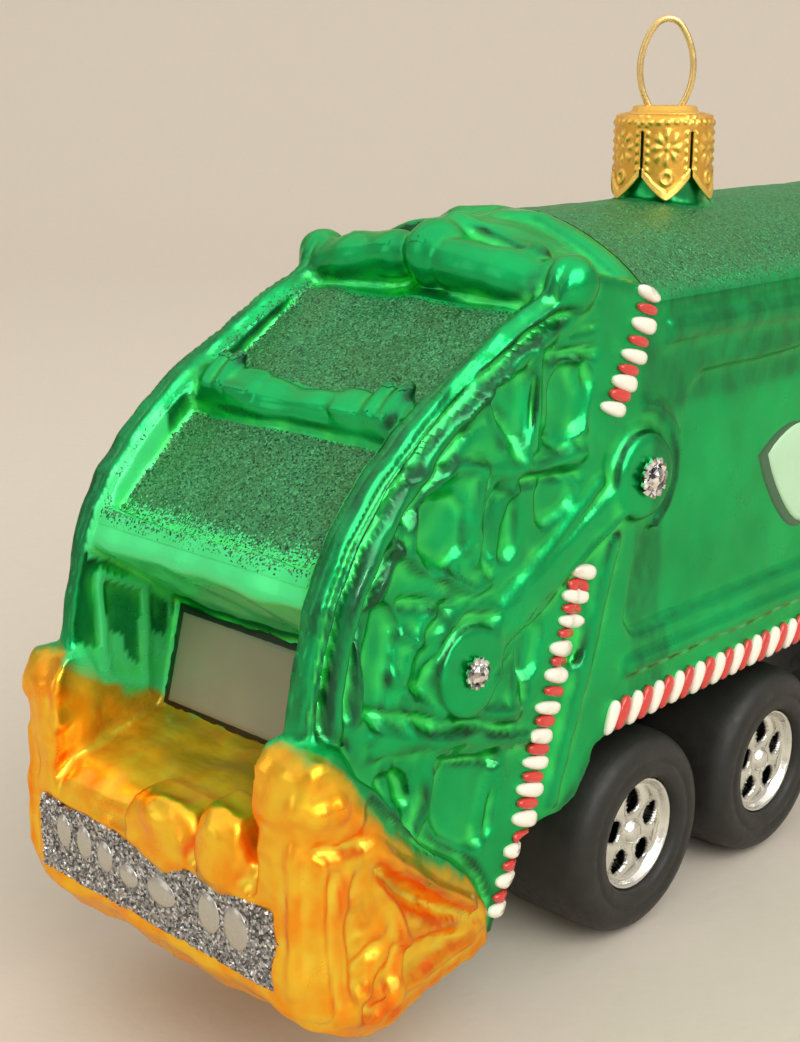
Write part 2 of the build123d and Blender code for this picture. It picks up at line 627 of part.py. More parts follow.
def hanger():
    """One wire: an oval loop, and two legs that pass the cap and spread inside the neck."""
    (meet_x, meet_z), (foot_x, foot_z) = loop_sides()
    side_radius = loop_half + loop_back()
    low = degrees(asin(-foot_z / side_radius))
    high = degrees(asin(meet_z / side_radius))
    lift = loop_top - loop_bend
    top = bend((0, lift), (-meet_x, meet_z), (sin(radians(high)), cos(radians(high))), 180 - 2 * high)
    side = bend((-loop_back(), 0), (foot_x, foot_z), (sin(radians(low)), cos(radians(low))), -low - high)
    centre = (foot_x + leg_bend * cos(radians(low)), foot_z - leg_bend * sin(radians(low)))
    heel = bend(centre, (foot_x, foot_z), (-sin(radians(low)), -cos(radians(low))), -low - leg_flare)
    tip_x, tip_z = sin(radians(leg_flare)), -cos(radians(leg_flare))
    end = (centre[0] + leg_bend * tip_z, 0, centre[1] - leg_bend * tip_x)
    length = (neck_bore - wire_radius - 0.1 - end[0]) / tip_x
    leg = extrude(wire_section(end, (tip_x, 0, tip_z)), length)
    half = side + heel + leg
    wire = top + half + mirror(half, Plane.YZ)
    return Pos(cap_x, 0, cap_top_z + loop_rise) * Rot(0, 0, loop_turn) * wire


# ---------------------------------------------------------------- underframe and wheels
web_x = (-29.0, 53.0)
stay_x = [-10.5, 12.5, 33.0]      # x of each pair of stays
stay_width = 3.0
stay_foot_z = 14.4
stay_thick = 1.0


def underframe():
    """Flat pan under the body, with a web down the middle that carries the axles."""
    low, high = floor_z - pan_thick, floor_z
    pan = block(-29.5, 58.0, -pan_half, pan_half, low, high)
    frame = pan + block(*web_x, -keel_half, keel_half, wheel_radius, high)
    for x in axles.values():
        frame += Pos(x, 0, wheel_radius) * Rot(90, 0, 0) * Cylinder(boss_radius, 2 * keel_half)
    for x in axles.values():
        frame -= Pos(x, 0, wheel_radius) * Rot(90, 0, 0) * Cylinder(axle_radius + axle_play, 40)
    return frame


def stays():
    """Bright straps from the pan's edge down to the web, between the wheels."""
    low = floor_z - pan_thick
    corners = [(pan_half - 0.2, low), (pan_half - 1.5, low), (keel_half, stay_foot_z + stay_thick),
               (keel_half, stay_foot_z)]
    straps = []
    for x in stay_x:
        for side in (1, -1):
            face = Plane.YZ.offset(x - stay_width / 2) * flat([(side * y, z) for y, z in corners])
            straps.append(extrude(face, stay_width, dir=(1, 0, 0)))
    return straps


def spin(profile):
    """Turn a half profile of (radius, y) points into a wheel part about the axle."""
    return revolve(Plane.XY * flat(profile), Axis.Y)


def tyre_form():
    """Smooth tyre, bevelled more on its outer shoulder."""
    inner_bevel = 0.5 * tyre_shoulder
    return spin([
        (rim_radius, tyre_inner_y), (wheel_radius - inner_bevel, tyre_inner_y),
        (wheel_radius, tyre_inner_y + inner_bevel), (wheel_radius, tyre_outer_y - tyre_shoulder),
        (wheel_radius - tyre_shoulder, tyre_outer_y), (rim_radius, tyre_outer_y),
    ])


hub_rim = 0.9            # the hub's rim stands in from the tyre's face
hub_disc = (2.4, 3.4)    # front and back of the dished disc, in from the tyre's face
hub_slots = 5


def hub_form():
    """Pressed hub: a flared rim round a sunk disc, five long openings and the axle's bore."""
    front, back = tyre_outer_y - hub_disc[0], tyre_outer_y - hub_disc[1]
    face = tyre_outer_y - hub_rim
    hub = spin([(axle_radius, front), (rim_radius - 1.3, front), (rim_radius - 0.5, face),
                (rim_radius, face), (rim_radius, back), (axle_radius, back)])
    hole = Pos(0.53 * rim_radius, 0) * oval(0.75, 2.0, 8)
    cut = Pos(0, face + 1, 0) * extrude(Plane.XZ * hole, face + 2 - back)
    for i in range(hub_slots):
        hub -= Rot(0, 360 * i / hub_slots + 18, 0) * cut
    return hub


def wheelsets():
    """For each axle: the axle itself, then both hubs, then both tyres."""
    tyre, hub = tyre_form(), hub_form()
    half = tyre_outer_y - 0.5 * sum(hub_disc)     # the axle ends half way through the disc
    sets = {}
    for name, x in axles.items():
        at = Pos(x, 0, wheel_radius)
        axle = at * Rot(90, 0, 0) * Cylinder(axle_radius, 2 * half)
        sets[name] = (
            axle,
            [at * hub, at * mirror(hub, Plane.XZ)],
            [at * tyre, at * mirror(tyre, Plane.XZ)],
        )
    return sets


if __name__ == "__main__":
    os.makedirs("parts", exist_ok=True)
    outer = glass()
    lacquer = orange_lacquer(outer)
    write("glass_body", outer - cavity())
    write("orange_lacquer", lacquer)
    glitter, discs = lamp_bar()
    write("lamp_bar_glitter", glitter)
    write("tail_lamps", *discs)
    write("roof_glitter", roof_glitter())
    write("hatch_glitter", *hatch_glitter())
    panel, frame = mouth_paint()
    write("mouth_panel", panel)
    write("mouth_outline", frame)
    white, red = dashes()
    write("white_dashes", *white)
    write("red_dashes", *red)
    write("crystal_stones", *crystal_stones())
    write("leaf_motif", *leaf_motif())
    windows, window_lines, (screen, screen_line) = cab_paint()
    write("window_paint", screen, *windows)
    write("window_outlines", screen_line, *window_lines)
    grille, headlamps = nose_trim()
    write("grille_glitter", grille)
    write("headlamps", *headlamps)
    write("crown_cap", crown_cap())
    write("hanger_wire", hanger())
    write("underframe", underframe())
    write("axle_stays", *stays())
    for name, (axle, hubs, tyres) in wheelsets().items():
        write(f"{name}_axle", axle)
        write(f"{name}_hubs", *hubs)
        write(f"{name}_tyres", *tyres)
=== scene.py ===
import json
import math
import random

import bmesh
import bpy
import numpy as np
from mathutils import Matrix, Vector
from mathutils.bvhtree import BVHTree

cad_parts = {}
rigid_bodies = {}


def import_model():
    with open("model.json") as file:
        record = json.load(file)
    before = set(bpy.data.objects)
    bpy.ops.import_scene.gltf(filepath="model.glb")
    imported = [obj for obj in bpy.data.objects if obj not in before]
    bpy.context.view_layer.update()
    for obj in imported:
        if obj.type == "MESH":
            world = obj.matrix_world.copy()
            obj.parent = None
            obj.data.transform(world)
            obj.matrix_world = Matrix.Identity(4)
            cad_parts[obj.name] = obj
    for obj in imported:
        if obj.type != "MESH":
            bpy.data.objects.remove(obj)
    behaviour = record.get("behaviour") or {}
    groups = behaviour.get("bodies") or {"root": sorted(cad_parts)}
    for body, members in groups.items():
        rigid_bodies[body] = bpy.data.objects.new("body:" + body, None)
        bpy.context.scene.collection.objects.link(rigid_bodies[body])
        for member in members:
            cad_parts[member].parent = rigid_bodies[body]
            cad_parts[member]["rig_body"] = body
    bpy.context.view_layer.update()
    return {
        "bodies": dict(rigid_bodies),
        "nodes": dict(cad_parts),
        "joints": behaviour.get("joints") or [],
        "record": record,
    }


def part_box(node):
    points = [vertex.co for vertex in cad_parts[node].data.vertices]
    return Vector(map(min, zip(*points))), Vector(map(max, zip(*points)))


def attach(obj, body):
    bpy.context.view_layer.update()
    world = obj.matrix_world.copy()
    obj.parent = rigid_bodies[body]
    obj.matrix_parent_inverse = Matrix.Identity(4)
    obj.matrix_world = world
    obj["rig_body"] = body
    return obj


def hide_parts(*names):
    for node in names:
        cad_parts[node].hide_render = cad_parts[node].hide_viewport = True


ops = bmesh.ops
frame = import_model()
nodes = frame["nodes"]

# Lengths are metres; MM turns the maker's millimetres into them.
MM = 0.001
FULL_TURN = 2 * math.pi


def linked(name, data):
    """A new object with this data, in the scene."""
    made = bpy.data.objects.new(name, data)
    bpy.context.scene.collection.objects.link(made)
    return made


# ---- camera, floor and light
EYE = Vector((-138.4, -93.0, 80.0)) * MM
HEADING = math.radians(43.5)      # from +X towards +Y
DIP = math.radians(15.7)
LENS = 55.4                       # on a 36 mm long side

# area lights: place, the point that each one faces, size, power and colour
lights = {
    "window": ((-0.25, -0.80, 0.75), (0, 0, 0.04), (1.0, 0.8), 8.6, (1.0, 0.98, 0.95)),
    "ceiling": ((0.1, 0.15, 0.95), (0, 0, 0.03), (2.4, 2.4), 9.5, (1.0, 0.97, 0.93)),
    "side": ((-0.8, 0.35, 0.35), (0, 0, 0.04), (0.4, 0.5), 0.5, (1.0, 0.97, 0.93)),
    "lamp": ((-0.45, -0.62, 0.30), (0, 0, 0.04), (0.07, 0.05), 0.35, (1.0, 0.98, 0.95)),
}
# the room's light, from the horizon up: height and colour
room_light = ((0.0, (0.92, 0.84, 0.74, 1)), (0.75, (1.0, 0.95, 0.88, 1)))
ROOM_STRENGTH = 0.60


def make_camera():
    data = bpy.data.cameras.new("camera")
    data.lens, data.sensor_width = LENS, 36.0
    data.clip_start, data.clip_end = 0.005, 20.0
    camera = linked("camera", data)
    level = math.cos(DIP)
    ahead = Vector((math.cos(HEADING) * level, math.sin(HEADING) * level, -math.sin(DIP)))
    camera.rotation_euler = ahead.to_track_quat("-Z", "Y").to_euler()
    camera.location = EYE
    bpy.context.scene.camera = camera


def make_light():
    world = bpy.data.worlds.new("room")
    world.use_nodes = True
    bpy.context.scene.world = world
    tree = world.node_tree
    tree.nodes.clear()
    kinds = ("TexCoord", "SeparateXYZ", "ValToRGB", "Background", "OutputWorld")
    spot, split, ramp, sky, out = [tree.nodes.new("ShaderNode" + kind) for kind in kinds]
    for source, output, target, socket in ((spot, "Generated", split, "Vector"), (split, "Z", ramp, "Fac"),
                                           (ramp, "Color", sky, "Color"), (sky, "Background", out, "Surface")):
        tree.links.new(source.outputs[output], target.inputs[socket])
    for element, (height, colour) in zip(ramp.color_ramp.elements, room_light):
        element.position, element.color = height, colour
    sky.inputs["Strength"].default_value = ROOM_STRENGTH
    for name, (place, aim, size, power, colour) in lights.items():
        data = bpy.data.lights.new(name, "AREA")
        data.shape, data.energy, data.color = "RECTANGLE", power, colour
        data.size, data.size_y = size
        lamp = linked(name, data)
        lamp.location = place
        lamp.rotation_euler = (Vector(aim) - Vector(place)).to_track_quat("-Z", "Y").to_euler()


def make_floor():
    """A pale sheet that curves up behind the ornament."""
    start_x, half_width, bend, top = -1.2, 2.0, 0.5, 2.0
    bm = bmesh.new()
    profile = [(start_x, 0.0), (bend, 0.0)]
    profile += [(bend + bend * math.sin(t), bend - bend * math.cos(t)) for t in np.linspace(0.15, math.pi / 2, 12)]
    profile.append((2 * bend, top))
    start = [bm.verts.new((x, -half_width, z)) for x, z in profile]
    edges = [bm.edges.new(pair) for pair in zip(start, start[1:])]
    moved = ops.extrude_edge_only(bm, edges=edges)
    ops.translate(bm, verts=verts_in(moved["geom"]), vec=(0, 2 * half_width, 0))
    ops.rotate(bm, verts=bm.verts, cent=(0, 0, 0), matrix=Matrix.Rotation(HEADING, 3, "Z"))
    for face in bm.faces:
        face.smooth = True
    ops.recalc_face_normals(bm, faces=bm.faces)
    floor = linked("floor", new_mesh("floor", bm))
    floor.data.materials.append(finishes["floor_paper"])


# ---- finishes
class Finish:
    """A material with one Principled shader, and short ways to add nodes to it."""

    def __init__(self, name, colour, roughness, metallic=0.0, **sockets):
        self.material = bpy.data.materials.new(name)
        self.material.use_nodes = True
        self.tree = self.material.node_tree
        self.shader = self.tree.nodes["Principled BSDF"]
        self.place = self.node("TexCoord")["Object"]
        sockets.update({"Base Color": colour, "Roughness": roughness, "Metallic": metallic})
        for socket, value in sockets.items():
            self.to(value, socket.replace("_", " "))

    def feed(self, value, socket):
        """Give a socket a number, a colour or place, or another node's output."""
        if isinstance(value, (int, float)):
            socket.default_value = value
        elif isinstance(value, tuple):
            socket.default_value = (*value, 1)[:len(socket.default_value)]
        else:
            self.tree.links.new(value, socket)

    def to(self, value, socket):
        self.feed(value, self.shader.inputs[socket])

    def node(self, kind, values=(), **settings):
        """The outputs of a new node, whose sockets take these values, in order or by name."""
        made = self.tree.nodes.new("ShaderNode" + kind)
        for key, value in settings.items():
            setattr(made, key, value)
        for key, value in values.items() if isinstance(values, dict) else enumerate(values):
            self.feed(value, made.inputs[key])
        return made.outputs

    def scaled(self, size, stretch=(1, 1, 1)):
        """The place on the object, in steps of size millimetres, longer by stretch along each axis."""
        scale = tuple(1.0 / (size * MM * s) for s in stretch)
        return self.node("Mapping", {"Vector": self.place, "Scale": scale})["Vector"]

    def noise(self, size, detail=2.0, rough=0.5, stretch=(1, 1, 1)):
        """Cloudy noise whose patches are about size millimetres across."""
        place = self.scaled(size, stretch)
        return self.node("TexNoise", {"Vector": place, "Scale": 1.0, "Detail": detail, "Roughness": rough})["Fac"]

    def cells(self, size):
        """The scaled place, and small cells about size millimetres across, each with its own colour."""
        place = self.scaled(size)
        return place, self.node("TexVoronoi", {"Vector": place, "Scale": 1.0})

    def ramp(self, source, *stops):
        """A ramp of greys: stops are (position, grey)."""
        node = self.tree.nodes.new("ShaderNodeValToRGB")
        elements = node.color_ramp.elements
        while len(elements) < len(stops):
            elements.new(0.5)
        for element, (position, grey) in zip(elements, stops):
            element.position = position
            element.color = (grey, grey, grey, 1)
        self.feed(source, node.inputs["Fac"])
        return node.outputs["Color"]

    def mix(self, share, first, second):
        """Two colours mixed. The node's sockets 6 and 7 and its output 2 are the ones for colours."""
        return self.node("Mix", {0: share, 6: first, 7: second}, data_type="RGBA")[2]

    def math(self, operation, *values, clamp=False):
        return self.node("Math", values, operation=operation, use_clamp=clamp)[0]

    def spread(self, source, low, high, to_low=0, to_high=1):
        limits = {"From Min": low, "From Max": high, "To Min": to_low, "To Max": to_high}
        return self.node("MapRange", {"Value": source, **limits})["Result"]

    def sheen(self, size, detail, low, high):
        """Roughness that wanders between low and high."""
        self.to(self.spread(self.noise(size, detail), 0.3, 0.7, low, high), "Roughness")

    def bump(self, height, depth):
        """Relief whose full height is depth millimetres."""
        self.to(self.node("Bump", {"Height": height, "Strength": 1.0, "Distance": depth * MM})["Normal"], "Normal")

    def mark(self, name):
        """A value stored on the mesh under this name."""
        return self.node("Attribute", attribute_name=name)["Fac"]


# lacquer colours: the range of each, then the painted shade where it slopes, the painted highlight in creases, the
# painted light inside the mouth and the painted shade deeper in the mouth
GREENS, AMBERS = ((0.002, 0.40, 0.10), (0.003, 0.54, 0.14)), ((1.0, 0.37, 0.008), (1.0, 0.60, 0.030))
GREEN_SLOPE_SHADE, GREEN_CREASE_HIGHLIGHT, GREEN_INSIDE_LIT = (0.012, 0.095, 0.038), (0.05, 0.80, 0.15), (0.07, 0.80, 0.26)
AMBER_SLOPE_SHADE, AMBER_CREASE_HIGHLIGHT, AMBER_SHADE = (0.97, 0.17, 0.005), (1.0, 0.70, 0.05), (0.40, 0.22, 0.010)
OLIVE = (0.42, 0.36, 0.02)        # where the orange runs over the green
# tints of the highlights
GREEN_GLINT, AMBER_GLINT, GLITTER_GLINT = (0.35, 0.9, 0.45), (1.0, 0.72, 0.30), (0.4, 0.9, 0.5)


def green_lacquer(f):
    """Green lacquer's colour with painted shade on slopes, rails, hood and frame, a painted highlight in creases
    and painted light inside the mouth; and how much shade and highlight there is.
    """
    cloud = f.spread(f.noise(8.0, 3.0), 0.35, 0.65)
    streak = f.noise(2.2, 4.0, 0.6, (1.0, 1.0, 2.2))
    # painted shade on slopes, and on the rails, hood and frame, broken into streaks
    slope = f.math("MULTIPLY", f.mark("slope"), f.spread(streak, 0.35, 0.65, 0.6, 1.25), clamp=True)
    rail = f.math("MULTIPLY", f.mark("rail"), f.spread(streak, 0.35, 0.65, 0.35, 0.9), clamp=True)
    slope = f.math("MAXIMUM", slope, rail)
    fade = f.spread(f.noise(3.0), 0.4, 0.6, 0.35, 1.2)
    # painted highlight in creases, patchy
    crease = f.math("MULTIPLY", f.mark("crease"), fade, clamp=True)
    green = f.mix(slope, f.mix(cloud, *GREENS), GREEN_SLOPE_SHADE)
    # painted light inside the mouth, where the glass would otherwise read dark
    green = f.mix(f.mark("inside"), green, GREEN_INSIDE_LIT)
    return f.mix(crease, green, GREEN_CREASE_HIGHLIGHT), slope, crease


def lacquered_glass():
    """Silvered glass under green lacquer, running softly into orange on the hopper."""
    f = Finish("lacquered_glass", (0.01, 0.42, 0.11), 0.30, 0.9, Coat_Weight=0.45, Coat_Roughness=0.06,
               Coat_IOR=1.4)
    green, slope, crease = green_lacquer(f)
    amber = f.mix(f.spread(f.noise(3.2, 3.0), 0.38, 0.62), *AMBERS)
    # painted shade on the orange's slopes and a painted highlight in its creases
    amber = f.mix(crease, f.mix(slope, amber, AMBER_SLOPE_SHADE), AMBER_CREASE_HIGHLIGHT)
    brushed = f.spread(f.noise(2.0, 4.0, 0.6, (1.0, 4.0, 1.0)), 0.35, 0.65, 0.35, 1.0)
    # painted shade deeper in the mouth, broken into brushed streaks
    amber = f.mix(f.math("MULTIPLY", f.mark("shade"), brushed), amber, AMBER_SHADE)
    edge = f.math("ADD", f.mark("orange"), f.spread(f.noise(2.5), 0.3, 0.7, -0.5, 0.5))
    amber = f.mix(f.spread(edge, 0.2, 1.5, 0.7, 0.0), amber, OLIVE)
    below = f.spread(edge, -0.35, 0.45)
    f.to(f.mix(below, green, amber), "Base Color")
    f.to(f.mix(below, GREEN_GLINT, AMBER_GLINT), "Specular Tint")
    f.sheen(3.5, 4.0, 0.25, 0.40)
    f.to(f.spread(f.mark("inside"), 0, 1, 0.9, 0.3), "Metallic")
    f.bump(f.noise(2.4, 3.0), 0.10)
    return f.material


def flaked(f, size, tilt, share=None):
    """Tilt small flakes about size millimetres across, each its own way; returns the flakes' random colour
    and which of them are there, where only a share of them is."""
    place, cell = f.cells(size)
    offset = f.node("VectorMath", (place, cell["Position"]), operation="SUBTRACT")["Vector"]
    lean = f.node("VectorMath", (cell["Color"], (0.5, 0.5, 0.5)), operation="SUBTRACT")["Vector"]
    height = f.node("VectorMath", (offset, lean), operation="DOT_PRODUCT")["Value"]
    there = None
    if share:
        there = f.math("LESS_THAN", f.node("SeparateColor", (cell["Color"],))["Blue"], share)
        height = f.math("MULTIPLY", height, there)
    f.bump(height, size * tilt)
    return cell["Color"], there


def green_glitter():
    """Fine dark green glitter, sprayed so that it thins out towards its edges."""
    f = Finish("green_glitter", (0.02, 0.22, 0.07), 0.5, 0.55, Coat_Weight=0.15, Coat_Roughness=0.3,
               Specular_Tint=GLITTER_GLINT)
    # the lacquer between the flakes, with its painted shade and highlight
    lacquer = green_lacquer(f)[0]
    flakes, there = flaked(f, 0.15, 0.75, f.mark("cover"))
    tone = f.ramp(flakes, (0.16, 0.0), (0.34, 0.42), (0.70, 0.55), (0.86, 1.0))
    green = f.mix(tone, (0.008, 0.07, 0.029), (0.085, 0.42, 0.16))
    green = f.mix(f.spread(f.noise(7.0), 0.42, 0.62, 0, 0.25), green, (0.08, 0.17, 0.05))
    f.to(f.mix(there, lacquer, green), "Base Color")
    return f.material


def silver_glitter():
    """Silver glitter with darker gaps and a few gold grains."""
    f = Finish("silver_glitter", (0.6, 0.6, 0.58), 0.34, 0.9)
    flakes = flaked(f, 0.20, 1.1)[0]
    tone = f.ramp(flakes, (0.12, 0.06), (0.42, 0.26), (0.7, 0.46), (0.92, 1.0))
    f.to(f.mix(f.spread(f.noise(1.2), 0.58, 0.7, 0, 0.3), tone, (0.52, 0.44, 0.28)), "Base Color")
    return f.material


def uneven(f, share, ends, sheen, grain):
    """Make a finish wander between two colours, in sheen and in thickness."""
    f.to(f.mix(share, *ends), "Base Color")
    f.sheen(*sheen)
    size, detail, depth = grain
    f.bump(f.noise(size, detail), depth)
    return f.material


def plain_paint(name, colour, roughness, tone=0.12, coat=0.0):
    """Brushed paint: slightly uneven in colour, sheen and thickness."""
    f = Finish(name, colour, roughness, Coat_Weight=coat, Coat_Roughness=0.08)
    ends = [tuple(min(1.0, c * share) for c in colour) for share in (1 - tone, 1 + tone)]
    sheen = (1.5, 2.0, roughness * 0.8, min(1.0, roughness * 1.25))
    return uneven(f, f.noise(3.0, 3.0), ends, sheen, (1.2, 2.0, 0.05))


def plated(name, colour, roughness):
    f = Finish(name, colour, roughness, 1.0)
    ends = (tuple(c * 0.9 for c in colour), colour)
    return uneven(f, f.noise(1.5), ends, (1.0, 3.0, roughness * 0.7, roughness * 1.4), (0.9, 2.0, 0.03))


def tyre_vinyl():
    f = Finish("tyre_vinyl", (0.02, 0.02, 0.019), 0.46, Specular_IOR_Level=0.35)
    ends = ((0.013, 0.013, 0.011), (0.032, 0.032, 0.028))
    return uneven(f, f.noise(2.0, 4.0), ends, (0.8, 3.0, 0.40, 0.56), (0.30, 3.0, 0.02))


def pressed_chrome():
    """Bright plating, painted near-black in the pits between the spokes: painted shade where the openings are."""
    f = Finish("pressed_chrome", (0.88, 0.87, 0.82), 0.22, 1.0)
    bright = f.mix(f.noise(1.5), (0.78, 0.77, 0.72), (0.92, 0.91, 0.86))
    ends = (bright, (0.006, 0.006, 0.005))
    return uneven(f, f.spread(f.mark("pit"), 0.08, 0.4), ends, (1.0, 3.0, 0.18, 0.30), (0.9, 2.0, 0.05))


def embossed_gilt():
    """Stamped gold foil with painted shade in the hollows of the stamping and a painted highlight on its raised
    parts.
    """
    f = Finish("embossed_gilt", (0.86, 0.55, 0.13), 0.3, 0.92)
    ends = ((0.74, 0.34, 0.035), (1.0, 0.68, 0.15))
    return uneven(f, f.mark("stamp"), ends, (1.0, 3.0, 0.28, 0.44), (0.45, 2.0, 0.04))


def cut_crystal():
    f = Finish("cut_crystal", (0.93, 0.95, 0.98), 0.05, 0.9)
    # random dark and bright cells, some warmer: painted glints and reflections standing for the cut facets'
    # sparkle
    shade = f.ramp(f.cells(0.42)[1]["Color"], (0.25, 0.10), (0.5, 0.55), (0.75, 1.0))
    f.to(f.mix(f.spread(f.noise(0.8, 1.0), 0.5, 0.6, 0, 0.4), shade, (0.75, 0.62, 0.5)), "Base Color")
    return f.material


# colour, roughness, unevenness and clear coat
paints = {
    "taupe_paint": ((0.30, 0.285, 0.20), 0.5, 0.1, 0.15),
    "black_line": ((0.010, 0.010, 0.009), 0.4),
    "white_enamel": ((0.88, 0.84, 0.72), 0.3, 0.05, 0.7),
    "red_enamel": ((0.62, 0.030, 0.022), 0.3, 0.15, 0.7),
    "mint_paint": ((0.45, 0.72, 0.47), 0.35, 0.08, 0.4),
    "black_plastic": ((0.008, 0.008, 0.008), 0.45),
    "shadow_green": ((0.012, 0.10, 0.03), 0.4, 0.2, 0.5),
    "floor_paper": ((0.60, 0.545, 0.465), 0.8, 0.02),
}
# colour and roughness
platings = {
    "silver_paint": ((0.60, 0.585, 0.53), 0.26),
    "gold_wire": ((0.90, 0.66, 0.28), 0.26),
    "bright_steel": ((0.62, 0.62, 0.58), 0.22),
}
finishes = {
    "green_glass": lacquered_glass(), "silver_glitter": silver_glitter(), "green_glitter": green_glitter(),
    "crystal": cut_crystal(), "gold_cap": embossed_gilt(), "hub_chrome": pressed_chrome(),
    "tyre_black": tyre_vinyl(),
}
finishes["orange_lacquer"] = finishes["green_glass"]
finishes.update({name: plain_paint(name, *values) for name, values in paints.items()})
finishes.update({name: plated(name, *values) for name, values in platings.items()})


def dress_cad():
    """Give every CAD node the finish of its slot."""
    for part in frame["record"]["subparts"]:
        mesh = nodes[part["node"]].data
        mesh.materials.clear()
        mesh.materials.append(finishes[part["material_slot"]])


# ---- pieces
def write(bm, mesh):
    """The mesh, with a bmesh's faces in it."""
    bm.to_mesh(mesh)
    bm.free()
    return mesh


def new_mesh(name, bm):
    return write(bm, bpy.data.meshes.new(name))


def opened(mesh):
    bm = bmesh.new()
    bm.from_mesh(mesh)
    return bm


def verts_in(geom):
    return [g for g in geom if isinstance(g, bmesh.types.BMVert)]


def settle(name, mesh, slot, *stands_for, body="body", smooth=True):
    """A finished object from a mesh: shaded, painted, on its body and in its slot."""
    for polygon in mesh.polygons:
        polygon.use_smooth = smooth
    mesh.name = name
    made = linked(name, mesh)
    mesh.materials.clear()
    mesh.materials.append(finishes[slot])
    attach(made, body)
    if stands_for:
        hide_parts(*stands_for)
    return made


def piece(name, bm, slot, *stands_for, **how):
    return settle(name, new_mesh(name, bm), slot, *stands_for, **how)


def coords(mesh, key="co"):
    values = np.zeros(len(mesh.vertices) * 3, np.float32)
    mesh.vertices.foreach_get(key, values)
    return values.reshape(-1, 3).astype(np.float64)


def put_coords(mesh, points):
    mesh.vertices.foreach_set("co", points.astype(np.float32).ravel())
    mesh.update()


def store(mesh, name, values):
    """Mark each vertex with a value, for the finishes to read."""
    layer = mesh.attributes.new(name, "FLOAT", "POINT")
    layer.data.foreach_set("value", values.astype(np.float32))


def rebuilt(mesh, kind, **settings):
    """The mesh after one modifier."""
    holder = linked("holder", mesh)
    modifier = holder.modifiers.new("work", kind)
    for key, value in settings.items():
        setattr(modifier, key, value)
    bpy.context.view_layer.update()
    result = bpy.data.meshes.new_from_object(holder.evaluated_get(bpy.context.evaluated_depsgraph_get()))
    bpy.data.objects.remove(holder)
    return result


def melted(mesh, voxel):
    """The mesh as one skin, from cubes of this size."""
    return rebuilt(mesh, "REMESH", mode="VOXEL", voxel_size=voxel)


def smoothed(mesh, rounds):
    return rebuilt(mesh, "SMOOTH", factor=0.5, iterations=rounds)


def copy_of(*names):
    """A bmesh with merged copies of these CAD nodes."""
    bm = bmesh.new()
    for name in names:
        bm.from_mesh(nodes[name].data)
    ops.remove_doubles(bm, verts=bm.verts, dist=1e-6)
    return bm


def islands(bm):
    """The separate pieces of a bmesh, each as a list of its vertices."""
    seen, found = set(), []
    for start in bm.verts:
        if start in seen:
            continue
        seen.add(start)
        shell, front = [start], [start]
        while front:
            for edge in front.pop().link_edges:
                for other in edge.verts:
                    if other not in seen:
                        seen.add(other)
                        shell.append(other)
                        front.append(other)
        found.append(shell)
    return found


def spots_of(node):
    """For each separate piece of a CAD node: its vertices, the middle of their box, and its side, 1 or -1."""
    bm = copy_of(node)
    for shell in islands(bm):
        points = np.array([v.co for v in shell])
        centre = (points.max(0) + points.min(0)) / 2
        yield points, centre, 1 if centre[1] > 0 else -1
    bm.free()


def loft(bm, rings, closed=True):
    """Faces from each ring of vertices to the next, or from each row to the next."""
    count = len(rings[0])
    for a, b in zip(rings, rings[1:]):
        for i in range(count if closed else count - 1):
            j = (i + 1) % count
            bm.faces.new((a[i], a[j], b[j], b[i]))


def grid_of(bm, rows, cols, place):
    """Rows of vertices, each where place(row, column) puts it."""
    return [[bm.verts.new(place(j, i)) for i in range(cols + 1)] for j in range(rows + 1)]


def face_out(bm):
    ops.recalc_face_normals(bm, faces=bm.faces)


def face_back(bm):
    """Turn an open sheet so that it faces the rear."""
    face_out(bm)
    if bm.faces[0].normal.x > 0:
        ops.reverse_faces(bm, faces=bm.faces)


def add_rod(bm, points, radius):
    """A round rod through points, in millimetres, with round ends."""
    points = [Vector(p) * MM for p in points]
    for point in points:
        ops.create_uvsphere(bm, u_segments=20, v_segments=12, radius=radius * MM,
                                  matrix=Matrix.Translation(point))
    for a, b in zip(points, points[1:]):
        turn = (b - a).to_track_quat("Z", "Y").to_matrix().to_4x4()
        ops.create_cone(bm, cap_ends=True, segments=20, radius1=radius * MM, radius2=radius * MM,
                              depth=(b - a).length, matrix=Matrix.Translation((a + b) / 2) @ turn)


def add_slab(bm, outline, half):
    """A bar of this (x, z) outline, in millimetres, reaching half to each side."""
    start = [bm.verts.new((x * MM, -half * MM, z * MM)) for x, z in outline]
    moved = ops.extrude_face_region(bm, geom=[bm.faces.new(start)])
    far = verts_in(moved["geom"])
    ops.translate(bm, verts=far, vec=(0, 2 * half * MM, 0))
    shell = {face for vert in start + far for face in vert.link_faces}
    ops.recalc_face_normals(bm, faces=list(shell))


# ---- the molten glass
VOXEL = 0.37 * MM
WIRE_VOXEL = 0.11 * MM
# the pieces the skin is parted into, and where along x each one begins and ends
partings = [("hopper_glass", -80.0, -47.6), ("tailgate_glass", -47.6, -26.4), ("body_glass", -26.4, 34.0),
            ("cab_glass", 34.0, 80.0)]


def both(radius, *line):
    """The same lump on each side, the one that is given first."""
    return [(radius, [(x, y * side, z) for x, y, z in line]) for side in (1, -1)]


